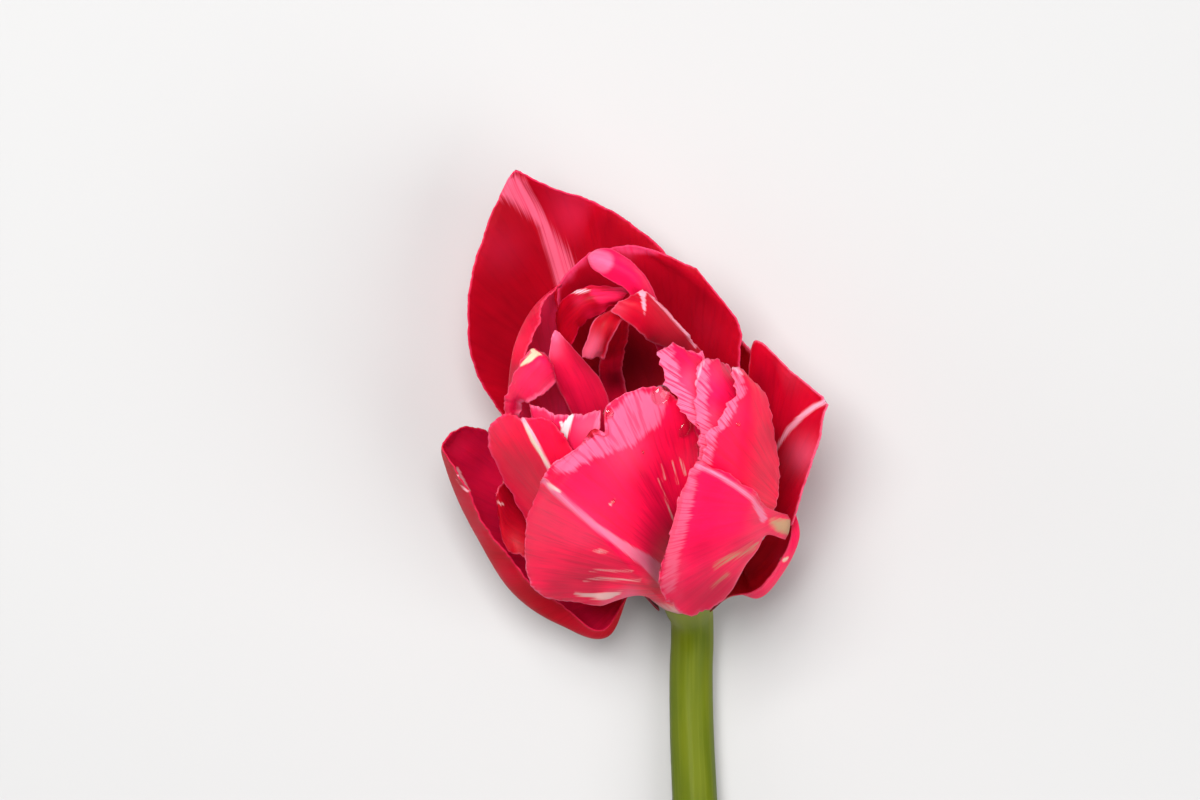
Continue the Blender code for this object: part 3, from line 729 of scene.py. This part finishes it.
    petal("petal_left_front", "outer", [(3.6, 5.4, 170, 2.0), (10, 9, 157, 3.3)], [
        [(552, 556, 14), (576, 550, 20), (600, 540, 26)],
        [(506, 480, 21), (547, 490, 33), (580, 480, 38.5)],
        [(487, 438, 26), (549, 465, 38), (572, 452, 39.5)],
        [(497, 418, 31), (536, 438, 38), (557, 425, 40)],
        [(512, 413, 33), (524, 419, 37), (540, 416, 38.5)]],
        crease=1, sharp=0.6, wave=(0.3, 3, 0.6), rough=(0.25, 0.25, 0.35),
        fan=(590, 555), band=(0.7, 0.2, 0.3), base=(6.0, 0.0), comb=0.6, streak=0.3,
        outer_red=(0.78, 0.002, 0.04), light_tone=(0.90, 0.05, 0.15), cream_tone=(0.86, 0.66, 0.52),
        pale=[[(524, 419, 2.2), (532, 433, 2.8), (543, 455, 2.0), (552, 470, 2)]],
        cream=[[(525, 422, 0.6), (534, 440, 1.8), (544, 456, 1.4), (552, 469, 1.2)]],
        # Painted light and shade: place, reach in steps and strength, light above zero, shade below
        light_and_shade_marks=[(502, 425, 14, 0.2), (520, 460, 20, -0.25), (545, 470, 12, -0.15)])

    petal("petal_small_curled", "outer", [(1.8, 5.6, 159, 1.9), (8, 9.5, 167, 2.4)], [
        [(592, 545, 4), (575, 562, 7), (560, 578, 12)],
        [(545, 505, 8), (535, 530, 11), (528, 560, 14)],
        [(515, 482, 13), (508, 512, 13.5), (505, 545, 13)],
        [(503, 480, 15), (497, 491, 16.5), (496, 504, 15)]],
        wave=(0.3, 2, 0.0),
        look="petal_inner_face", base=(5.0, 0.0),
        outer_red=(0.76, 0.002, 0.035), cream_tone=(0.80, 0.42, 0.42),
        cream=[[(505, 480, 1.5), (497, 482, 1.8), (492, 490, 1.8), (494, 500, 1.5), (502, 504, 0.8)],
               [(497, 526, 1.5), (497, 534, 2.2)]])


def inner_layer():
    petal("petal_inner_back", "inner", feet(1, 280, -2.4, 279, -6), [
        [(640, 480, -3), (685, 470, -3), (726, 470, 0)],
        [(592, 390, 0), (668, 372, 0.5), (735, 412, 5)],
        [(562, 330, 10), (657, 305, 8), (741, 352, 12)],
        [(560, 285, 19), (650, 265, 16), (735, 318, 16)],
        [(590, 252, 21), (640, 246, 19), (697, 268, 18.5)]],
        wave=(0.35, 4, 0.4), rough=(0.10, 0.14, 0.12),
        look="petal_back", fan=(688, 490), band=(0.5, 0.3, 0.3), base=(12.0, 16.0), streak=0.25,
        margin=0.25,
        light_tone=(0.84, 0.05, 0.16),
        light=[[(608, 250, 2), (628, 248, 5), (645, 249, 4.5), (658, 253, 1.5)],
               [(560, 286, 2), (575, 267, 3), (588, 255, 2)]],
        # Painted light and shade: painted highlights on the rolled top margin, painted shade down into the
        # throat
        light_and_shade_marks=[(568, 274, 7, 0.5), (581, 260, 6, 0.5), (628, 249, 7, 0.5), (700, 330, 24, 0.06),
               (585, 285, 14, -0.2), (640, 365, 38, -0.75), (615, 340, 24, -0.4), (600, 390, 26, -0.5),
               (620, 295, 16, -0.2)])

    petal("petal_inner_right_1", "outer", feet(4, 68, 1.8, 60, 3), [
        [(706, 500, 36), (722, 500, 35), (745, 500, 31)],
        [(697, 431, 43.5), (712, 430, 42.5), (735, 430, 39)],
        [(675, 400, 45.5), (697, 400, 44.5), (722, 402, 40.5)],
        [(664, 374, 45), (684, 370, 44), (712, 378, 40.5)],
        [(656, 353, 43.5), (672, 346, 42), (700, 354, 39.5)]],
        wave=(0.3, 3, 0.0), rough=(0.7, 0.3, 0.5),
        fan=(765, 435), band=(2.9, 0.2, 0.3), comb=0.9, lines=0.85,
        light_tone=(0.95, 0.17, 0.32),
        light=[[(662, 360, 5), (668, 380, 6), (680, 402, 7), (690, 420, 6)]],
        # Painted light on this petal
        light_and_shade_marks=[(690, 380, 12, 0.3), (690, 400, 12, 0.2)])

    petal("petal_inner_right_2", "outer", feet(3, 52, 1.9, 52, 3), [
        [(705, 505, 37.5), (728, 505, 36.5), (758, 505, 29)],
        [(700, 452, 44.6), (722, 450, 43.5), (752, 450, 38)],
        [(697, 412, 46), (718, 412, 45), (745, 415, 40)],
        [(695, 386, 45.5), (714, 384, 44.5), (738, 388, 39.5)],
        [(701, 360, 42), (713, 358, 41), (727, 367, 37.5)]],
        wave=(0.3, 3, 1.0), rough=(0.5, 0.3, 0.4),
        fan=(790, 470), band=(2.3, 0.2, 0.3), comb=0.9, lines=0.8,
        pale=[[(688, 351, 1.0), (697, 356, 1.6), (703, 362, 1.6), (699, 374, 1.0), (695, 386, 0.6)]],
        # Painted light on this petal
        light_and_shade_marks=[(712, 375, 12, 0.15), (714, 418, 11, 0.2)])

    petal("petal_inner_right_3", "outer", feet(2, 32, 2.1, 38, 4.5), [
        [(704, 515, 40), (738, 522, 38), (770, 522, 24)],
        [(701, 465, 46.3), (738, 480, 43.5), (777, 490, 29)],
        [(706, 438, 47.8), (742, 445, 45.3), (778, 452, 32)],
        [(723, 414, 47.4), (748, 414, 45.6), (772, 422, 35)],
        [(736, 388, 44.5), (750, 388, 42.5), (762, 392, 35.5)],
        [(728, 366, 41), (738, 369, 40), (746, 379, 37.5)]],
        wave=(0.3, 4, 2.0), rough=(0.6, 0.3, 0.4),
        fan=(800, 520), band=(1.9, 0.2, 0.8), comb=0.9, lines=0.7,
        outer_red=(0.93, 0.003, 0.055),
        light=[[(736, 385, 3.5), (728, 403, 5), (716, 425, 5), (706, 445, 4)]],
        pale=[[(727, 366, 1.5), (735, 368, 2), (741, 375, 1.5)]],
        # Painted light and shade: place, reach in steps and strength, light above zero, shade below
        light_and_shade_marks=[(730, 405, 14, 0.15), (760, 470, 24, -0.15), (772, 440, 16, -0.25)])

    petal("petal_inner_left_front", "outer", [(5.4, 5.2, 126, 2.0), (12, 9, 126, 3.2)], [
        [(575, 540, 12), (602, 540, 18), (628, 540, 23)],
        [(547, 470, 27), (578, 470, 35), (612, 470, 40)],
        [(534, 429, 32), (564, 435, 37), (600, 430, 42.5)],
        [(530, 404, 34), (565, 415, 37.5), (601, 411, 42)]],
        wave=(0.25, 3, 0.7),
        fan=(560, 520), band=(0.3, 1.2, 0.6), comb=0.7, lines=0.6,
        light_tone=(0.95, 0.16, 0.30), cream_tone=(0.93, 0.80, 0.82),
        cream=[[(573, 415, 1.5), (568, 424, 4.0), (565, 436, 3.6), (563, 450, 1.2)],
               [(561, 422, 1.0), (566, 428, 2.2)]],
        # Painted light and shade: place, reach in steps and strength, light above zero, shade below
        light_and_shade_marks=[(590, 425, 18, 0.4), (545, 416, 12, 0.15)])

    petal("petal_left_rim", "outer", [(5.4, 5.2, 208, 2.0), (13, 9, 210, 3.2)], [
        [(578, 430, 5), (566, 442, 7), (554, 458, 9), (542, 480, 12)],
        [(568, 345, 14), (552, 366, 15), (538, 392, 17), (523, 422, 21)],
        [(554, 289, 26), (531, 312, 30.5), (516, 343, 32.5), (508, 397, 28.4)],
        [(562, 284, 28), (545, 300, 33), (538, 326, 35.2), (521, 366, 34.6)]],
        wave=(0.3, 5, 0.2), rough=(0.15, 0.2, 0.35),
        fan=(560, 440), band=(0.2, 0.2, 0.5), base=(9.0, -20.0), comb=0.8, streak=0.3,
        outer_red=(0.66, 0.003, 0.035), inner_red=(1.0, 0.03, 0.14), light_tone=(0.86, 0.05, 0.12),
        # Painted light and shade: place, reach in steps and strength, light above zero, shade below
        light_and_shade_marks=[(520, 342, 10, 0.2), (545, 300, 8, 0.2), (548, 335, 12, 0.2), (509, 395, 14, -0.15),
               (517, 372, 11, -0.35)])

    petal("petal_folded_tip", "outer", feet(4, 190, 1.8, 190, 2.4), [
        [(512, 450, 18), (522, 452, 20), (532, 454, 22)],
        [(505, 402, 31), (512, 404, 32), (521, 406, 32)],
        [(516, 372, 37), (524, 380, 38.5), (536, 398, 37)],
        [(532, 349, 37), (543, 360, 39.5), (554, 385, 37)],
        [(545, 354, 36), (550, 362, 37), (556, 375, 35.5)]],
        look="petal_inner_face", band=(0.2, 0.9, 0.5),
        outer_red=(0.85, 0.007, 0.07), cream_tone=(0.88, 0.62, 0.42),
        cream=[[(533, 350, 2.5), (536, 353, 3.2), (530, 359, 3.2), (521, 366, 1.0)],
               [(538, 353, 2.5), (544, 356, 0.8)]],
        # Painted light on this petal
        light_and_shade_marks=[(550, 392, 10, 0.3), (530, 380, 14, 0.1)])

    petal("petal_throat_left", "inner", [(7.2, 5.0, 145, 1.8), (15, 7, 143, 2.4)], [
        [(584, 472, 15), (601, 474, 15), (618, 476, 16.5)],
        [(572, 415, 26), (590, 412, 28), (611, 408, 26)],
        [(557, 385, 30), (577, 380, 31), (598, 377, 28)],
        [(549, 360, 32.5), (562, 352, 33), (576, 352, 30.5)],
        [(551, 338, 34), (555, 331, 34), (560, 333, 33.5)]],
        rough=(0.1, 0.1, 0.15),
        look="petal_inner_face", band=(0.2, 0.2, 0.5), base=(8.0, 4.0), streak=0.3,
        inner_red=(0.74, 0.005, 0.052),
        # Painted light on the tip
        light_and_shade_marks=[(555, 334, 9, 0.8), (553, 350, 9, 0.4)])


def petaloids():
    petal("petaloid_arching", "outer", feet(3, 305, -1.6, 305, -2.5), [
        [(690, 400, 7), (700, 395, 7), (710, 390, 7)],
        [(655, 345, 18), (665, 340, 18), (675, 335, 17)],
        [(637, 305, 33), (646, 300, 33.5), (656, 298, 31.5)],
        [(624, 288, 36), (633, 277, 37.5), (644, 275, 35)],
        [(600, 274, 37), (606, 262, 38.5), (613, 250, 36.8)],
        [(592, 267, 36.8), (591, 258, 37.6), (597, 250, 36.6)],
        [(589, 261, 36.3), (588, 257, 36.4), (590, 253.5, 36.2)]],
        rough=(0.12, 0.12, 0.1),
        base=(5, 0), comb=0.15, lines=0.1, streak=0.3,
        light_tone=(0.93, 0.13, 0.28),
        light=[[(592, 256, 9), (603, 262, 11)]],
        # Painted light and shade: a little lighter at the tip, painted shade down towards the throat
        light_and_shade_marks=[(594, 256, 6, 0.15), (640, 290, 10, -0.2), (650, 312, 12, -0.6), (662, 335, 18, -0.9)])

    petal("petaloid_band", "outer", feet(3, 253, -1.6, 252, -2.3), [
        [(590, 420, 9), (592, 405, 8), (596, 390, 7)],
        [(567, 352, 25), (560, 333, 25), (557, 314, 23.5)],
        [(580, 331, 29), (572, 312, 30.5), (568, 295, 28.8)],
        [(590, 318, 30), (586, 302, 32), (587, 288, 30.5)],
        [(606, 309, 30.5), (606, 298, 32), (608, 286, 31)],
        [(621, 304, 30.5), (625, 296, 31.5), (629, 289, 30)]],
        wave=(0.25, 6, 0.0), rough=(0.5, 0.2, 0.2),
        band=(0.2, 0.2, 0.3), base=(5, 0), comb=0.15,
        outer_red=(0.36, 0.002, 0.022), light_tone=(0.93, 0.015, 0.10), pale_tone=(0.95, 0.55, 0.62),
        light=[[(594, 293, 5), (603, 297, 7.5), (613, 295, 7.5), (622, 291, 6)]],
        # A painted highlight, whitish in the pale tone, at the left end of the fold
        pale=[[(572, 292, 1.0), (579, 292, 2.6), (586, 291, 1.8), (590, 291, 0.5)]],
        # Painted light and shade: painted light on the lit edges of the folds, a little shade on the left
        light_and_shade_marks=[(590, 313, 6, 0.3), (602, 309, 5, 0.3), (580, 300, 6, 0.3), (560, 320, 10, -0.15)])

    petal("petaloid_leaning", "inner", feet(4, 345, -1.8, 345, -3), [
        [(700, 430, 15), (715, 420, 13), (730, 410, 12)],
        [(672, 352, 30), (682, 350, 28), (696, 345, 26)],
        [(648, 340, 35), (662, 328, 34.5), (680, 325, 31)],
        [(625, 320, 38.5), (640, 306, 39.5), (655, 299, 36.5)],
        [(609, 310, 38.2), (624, 300, 39.4), (641, 289, 37.6)]],
        rough=(0.15, 0.25, 0.35),
        look="petal_inner_face", base=(5, 0), streak=0.25, margin=0.1,
        inner_red=(0.54, 0.0015, 0.020), light_tone=(0.95, 0.22, 0.38), cream_tone=(0.93, 0.36, 0.46),
        pale=[[(647, 291, 1.0), (658, 304, 1.0), (668, 314, 1.0), (678, 325, 1.2), (688, 335, 2.2),
               (695, 346, 1.6)]],
        cream=[[(638, 291, 2.0), (645, 291, 2.4)], [(642, 293, 3.2), (643, 301, 2.0), (644, 316, 0.1)]],
        # Painted light and shade: mostly painted shade towards the throat
        light_and_shade_marks=[(684, 344, 12, -0.4), (618, 308, 9, 0.12), (650, 342, 12, -0.6), (668, 352, 14, -0.6)])

    petal("petaloid_hanging", "outer", feet(4, 262, -1.7, 262, -2.5), [
        [(600, 380, 12), (612, 380, 12), (624, 380, 12)],
        [(606, 333, 28), (617, 330, 28), (629, 328, 28)],
        [(606, 313, 34.2), (616, 310, 34.6), (628, 314, 34)],
        [(593, 323, 35.8), (605, 323, 36.9), (617, 327, 35.8)],
        [(586, 342, 34.6), (597, 344, 36), (610, 342, 35.2)],
        [(582, 357, 33.0), (592, 359, 33.8), (604, 358, 33.3)]],
        rough=(0.15, 0.15, 0.35),
        band=(0.2, 0.2, 0.3), base=(5, 0), lines=0.6, streak=0.7,
        outer_red=(0.80, 0.004, 0.045), light_tone=(0.95, 0.16, 0.30),
        # Painted light and shade: lighter at the tip, painted shade at the foot and on the right
        light_and_shade_marks=[(590, 354, 11, 0.6), (594, 340, 9, 0.3), (612, 350, 9, -0.3), (618, 335, 9, -0.2),
               (616, 378, 16, -0.9)])


# Stem and heart
def square_frames(centres):
    """Two side directions for each point of a path, without twist."""
    side, out = RIGHT, []
    for along in unit(np.gradient(np.array(centres), axis=0)):
        side = side - np.dot(side, along) * along
        side = side / np.linalg.norm(side)
        out.append((side, np.cross(along, side)))
    return out


def round_body(name, marks, sides, cuts, mat, slot, ripple, frames=None):
    """A closed round body along marks of a centre and a radius, from a cylinder."""
    clear()
    bpy.ops.mesh.primitive_cylinder_add(vertices=sides, radius=1, depth=2, end_fill_type="TRIFAN")
    piece, mesh = named("fine_" + name)
    bpy.ops.object.mode_set(mode="EDIT")
    bpy.ops.mesh.select_mode(type="EDGE")
    bpy.ops.mesh.select_all(action="DESELECT")
    bpy.ops.object.mode_set(mode="OBJECT")
    for edge in mesh.edges:
        a, b = (mesh.vertices[k].co for k in edge.vertices)
        edge.select = abs(a.z - b.z) > 1
    bpy.ops.object.mode_set(mode="EDIT")
    bpy.ops.mesh.subdivide(number_cuts=cuts)
    bpy.ops.object.mode_set(mode="OBJECT")
    mesh = piece.data

    # Path and radius at each level
    centres = np.array([m[0] for m in marks])
    radii = np.array([m[1] for m in marks])
    places = spread(np.linalg.norm(np.diff(centres, axis=0), axis=1))
    levels = np.linspace(0, 1, cuts + 2)
    path = curve(centres, places, levels)
    sizes = curve(radii[:, None], places, levels)[:, 0]
    frames = frames or square_frames(path)
    length = np.linalg.norm(np.diff(path, axis=0), axis=1).sum()

    flat = points_of(mesh)
    placed, along, turn = np.zeros(flat.shape), np.zeros(len(flat)), np.zeros(len(flat))
    for k, (x, y, z) in enumerate(flat):
        level = int(round((z + 1) / 2 * (cuts + 1)))
        u, w = frames[level]
        angle = math.atan2(y, x)
        reach = sizes[level] * math.hypot(x, y) * (1 + ripple(angle, levels[level]))
        placed[k] = path[level] + reach * (math.cos(angle) * u + math.sin(angle) * w)
        along[k] = levels[level] * length
        turn[k] = angle
    placed[:, 2] = np.maximum(placed[:, 2], FLOOR)
    put_points(mesh, placed)
    number(mesh, "along", along)
    number(mesh, "turn", turn)
    number(mesh, "reach", np.hypot(flat[:, 0], flat[:, 1]))
    choose(piece)
    bpy.ops.object.mode_set(mode="EDIT")
    bpy.ops.mesh.select_all(action="SELECT")
    bpy.ops.mesh.normals_make_consistent(inside=False)
    bpy.ops.object.mode_set(mode="OBJECT")
    bpy.ops.object.shade_smooth_by_angle(angle=math.radians(50))
    mesh.materials.clear()
    mesh.materials.append(mat)
    finish_piece(piece, slot, name)


GREEN, GREEN_LIGHT, GREEN_STREAK = (0.082, 0.115, 0.0005, 1), (0.125, 0.155, 0.001, 1), (0.17, 0.20, 0.012, 1)
NECK = (0.42, 0.44, 0.13, 1)
CUT_RIND, CUT_PITH, CUT_SPECK = (0.10, 0.16, 0.02, 1), (0.46, 0.50, 0.22, 1), (0.16, 0.20, 0.05, 1)


def stem_material():
    mat, tree, shader = new_material("skin_stem")
    along, turn, reach = (read(tree, name) for name in ("along", "turn", "reach"))
    around = times(tree, calc(tree, "SINE", turn), 4.0)
    across = times(tree, calc(tree, "COSINE", turn), 4.0)
    streak = noise(tree, times(tree, around, 1.6), times(tree, across, 1.6), times(tree, along, 0.05), 3.0)
    cloud = noise(tree, times(tree, around, 0.15), times(tree, across, 0.15), times(tree, along, 0.03))
    green = blend(tree, ramp(tree, cloud, 0.35, 0.65), GREEN, GREEN_LIGHT)
    green = blend(tree, times(tree, ramp(tree, streak, 0.45, 0.7), 0.3), green, GREEN_STREAK)
    green = blend(tree, times(tree, ramp(tree, along, 17.0, 3.0), 0.55), green, NECK)

    # The cut face: a green rind round a pale pith with specks
    cut = calc(tree, "GREATER_THAN", 0.93, reach)
    face = blend(tree, ramp(tree, reach, 0.86, 0.70), CUT_RIND, CUT_PITH)
    speck = add(tree, "ShaderNodeTexVoronoi", {"Vector": on_object(tree), "Scale": 1900.0})
    speck = ramp(tree, speck.outputs["Distance"], 0.32, 0.12)
    face = blend(tree, times(tree, speck, 0.5), face, CUT_SPECK)
    feed_all(tree, shader, {"Base Color": blend(tree, cut, green, face),
                            "Roughness": times(tree, streak, 0.2, 0.36),
                            "Normal": bump(tree, streak, 0.35, 0.00015), "Specular IOR Level": 0.15,
                            "Subsurface Weight": 0.10, "Subsurface Radius": (0.5, 0.9, 0.15),
                            "Subsurface Scale": 0.0012})
    return mat


# The receptacle, from its top down: rise on the bloom's axis and radius
RECEPTACLE = [(9.0, 3.9), (7.0, 4.1), (4.5, 4.3), (2.0, 4.55), (0.0, 4.8), (-1.5, 4.6), (-3.0, 4.2),
              (-4.5, 4.0)]


def stem():
    marks = [(FOOT + rise * AXIS, radius) for rise, radius in RECEPTACLE]
    last = marks[-1][0]
    end = FLOOR + STEM_END_R - 0.12
    path = np.array([last, last + (0.1, -4.2, -1.9), last + (-0.1, -9.5, -2.6),
                     sheet(692, 740, -5.2), sheet(697, 850, -4.2), sheet(701, 1050, -4.4),
                     sheet(697, 1250, -5.0), sheet(690, 1362, end)])
    places = spread(np.linalg.norm(np.diff(path, axis=0), axis=1))
    for w in np.concatenate([np.linspace(0.02, 0.12, 6), np.linspace(0.17, 1.0, 14)]):
        marks.append((curve(path, places, [w])[0], STEM_R + (STEM_END_R - STEM_R) * min(1.0, 2.2 * w)))

    def ribs(angle, level):
        return 0.006 * math.sin(7 * angle + 2.0 * level) + 0.004 * math.sin(12 * angle - 3.0 * level)

    round_body("stem", marks, 72, 240, stem_material(), "stem", ribs)


def plain_material(name, dark, light, scale, rough, relief):
    """A two-tone skin with fine grain on Object coordinates."""
    mat, tree, shader = new_material(name)
    grain = add(tree, "ShaderNodeTexNoise", {"Vector": on_object(tree), "Scale": scale, "Detail": 4.0})
    grain = grain.outputs["Fac"]
    feed_all(tree, shader, {"Base Color": blend(tree, ramp(tree, grain, 0.35, 0.65), dark, light),
                            "Normal": bump(tree, grain, relief, 0.0002), "Roughness": rough})
    return mat


# Rise on the bloom's axis and radius
PISTIL = [(9.35, 1.9), (11, 2.1), (13.5, 2.3), (16, 2.1), (17.2, 1.8), (17.8, 2.0), (18.6, 2.5), (19.4, 2.2)]
# Rise, distance from the axis and radius
STAMEN = [(9.35, 3.1, 0.5), (14, 3.5, 0.5), (19, 3.9, 0.45), (20, 4.0, 0.9), (22, 4.15, 1.15),
          (26, 4.5, 1.05), (27.5, 4.6, 0.55)]
STAMENS = 6
FIRST_STAMEN = 5     # degrees round the axis


def heart():
    """The pistil with its three-lobed top, and six stamens round it."""
    def lobes(angle, level):
        return 0.15 * math.cos(3 * angle) * float(ease(level, 0.78, 0.88)) + 0.05 * math.cos(3 * angle)

    def groove(angle, level):
        return -0.16 * max(0.0, math.cos(2 * angle)) ** 6 * float(ease(level, 0.55, 0.62))

    cuts = 60
    skin = plain_material("skin_pistil", (0.30, 0.32, 0.05, 1), (0.52, 0.48, 0.16, 1), 900, 0.5, 0.3)
    round_body("pistil", [(FOOT + s * AXIS, r) for s, r in PISTIL], 48, cuts, skin, "pistil", lobes,
               [(RIGHT, FRONT)] * (cuts + 2))
    skin = plain_material("skin_stamen", (0.012, 0.002, 0.010, 1), (0.05, 0.012, 0.03, 1), 2500, 0.85, 0.6)
    for i in range(STAMENS):
        turn = 360 // STAMENS * i + FIRST_STAMEN
        marks = [(round_axis(rise, out, turn), radius) for rise, out, radius in STAMEN]
        round_body(f"stamen_{i + 1}", marks, 32, 48, skin, "stamen", groove)


# Water drops: petal, steps right, steps down, radius in millimetres, length over width, turn
DROPS = [("petal_front", 660, 394, 1.7, 1.1, 0.9), ("petal_front", 609, 413, 1.0, 1.0, 0.0),
         ("petal_front", 683, 430, 1.2, 1.4, 1.2), ("petal_front", 612, 502, 0.45, 1.0, 0.0),
         ("petal_front", 643, 452, 0.4, 1.0, 0.0), ("petal_inner_right_3", 738, 425, 0.45, 1.0, 0.0),
         ("petal_guard_right", 781, 465, 0.5, 1.1, 0.5)]
DROP_RISE = 0.55     # height of a drop over its radius
DROP_BELLY = 0.12    # millimetres from its widest line to its underside
DROP_SUNK = 0.05     # millimetres from its widest line to the petal's face


def water_material():
    mat, tree, shader = new_material("skin_water")
    feed_all(tree, shader, {"Base Color": (1.0, 0.97, 0.97, 1), "Roughness": 0.04, "IOR": 1.42,
                            "Transmission Weight": 1.0})
    return mat


def water():
    mat = water_material()
    for k, (name, right, down, radius, length, turn) in enumerate(DROPS):
        grid = SKINS[name]
        place = nearest(grid, right, down, 0.2)
        up = normals(grid)[place]
        up = up if up[2] > 0 else -up
        side = np.array([math.cos(turn), math.sin(turn), 0.0])
        side = side - np.dot(side, up) * up
        side /= np.linalg.norm(side)
        clear()
        bpy.ops.mesh.primitive_uv_sphere_add(segments=32, ring_count=20, radius=1.0)
        piece, mesh = named(f"drop_{k + 1}")
        a, b, c = points_of(mesh).T
        rise = np.where(c > 0, DROP_RISE * radius * c, DROP_BELLY * c)
        put_points(mesh, grid[place] + up * (SKIN / 2 - DROP_SUNK) + radius * length * a[:, None] * side
                   + radius * b[:, None] * np.cross(up, side) + rise[:, None] * up)
        mesh.update()
        bpy.ops.object.shade_smooth()
        mesh.materials.append(mat)
        finish_piece(piece, "petal_outer_face")


# Stage
FLOOR_RADIUS = 3.0
FLOOR_TONE = (0.54, 0.535, 0.53, 1)
SKY_TONE, SKY_STRENGTH = (0.92, 0.95, 1.0, 1), 0.20
LAMPS = (("key", (-0.14, 0.30, 0.85), (0, 0.06, 0.02), 0.45, 9.5),  # place, aim, size, power
         ("fill", (0.55, -0.2, 0.6), (0, 0.04, 0.02), 0.7, 4.2),
         ("side", (-0.7, 0.1, 0.25), (0, 0.06, 0.02), 0.5, 1.2))


def stage():
    clear()
    bpy.ops.mesh.primitive_circle_add(vertices=96, radius=FLOOR_RADIUS, fill_type="NGON")
    floor = bpy.context.object
    floor.name = "floor"
    mat, tree, shader = new_material("floor")
    feed_all(tree, shader, {"Base Color": FLOOR_TONE, "Roughness": 0.75})
    floor.data.materials.append(mat)
    world = bpy.data.worlds.new("studio")
    world.use_nodes = True
    sky = world.node_tree.nodes["Background"].inputs
    sky[0].default_value, sky[1].default_value = SKY_TONE, SKY_STRENGTH
    bpy.context.scene.world = world
    for name, place, aim, size, power in LAMPS:
        data = bpy.data.lights.new(name, "AREA")
        data.size = size
        data.energy = power
        lamp = bpy.data.objects.new(name, data)
        lamp.location = place
        x, y, z = np.array(aim) - np.array(place)
        lamp.rotation_euler = (math.acos(-z / math.hypot(x, y, z)), 0, math.atan2(y, x) - math.pi / 2)
        bpy.context.scene.collection.objects.link(lamp)


camera()
outer_guards()
front_layer()
inner_layer()
petaloids()
stem()
heart()
water()
stage()
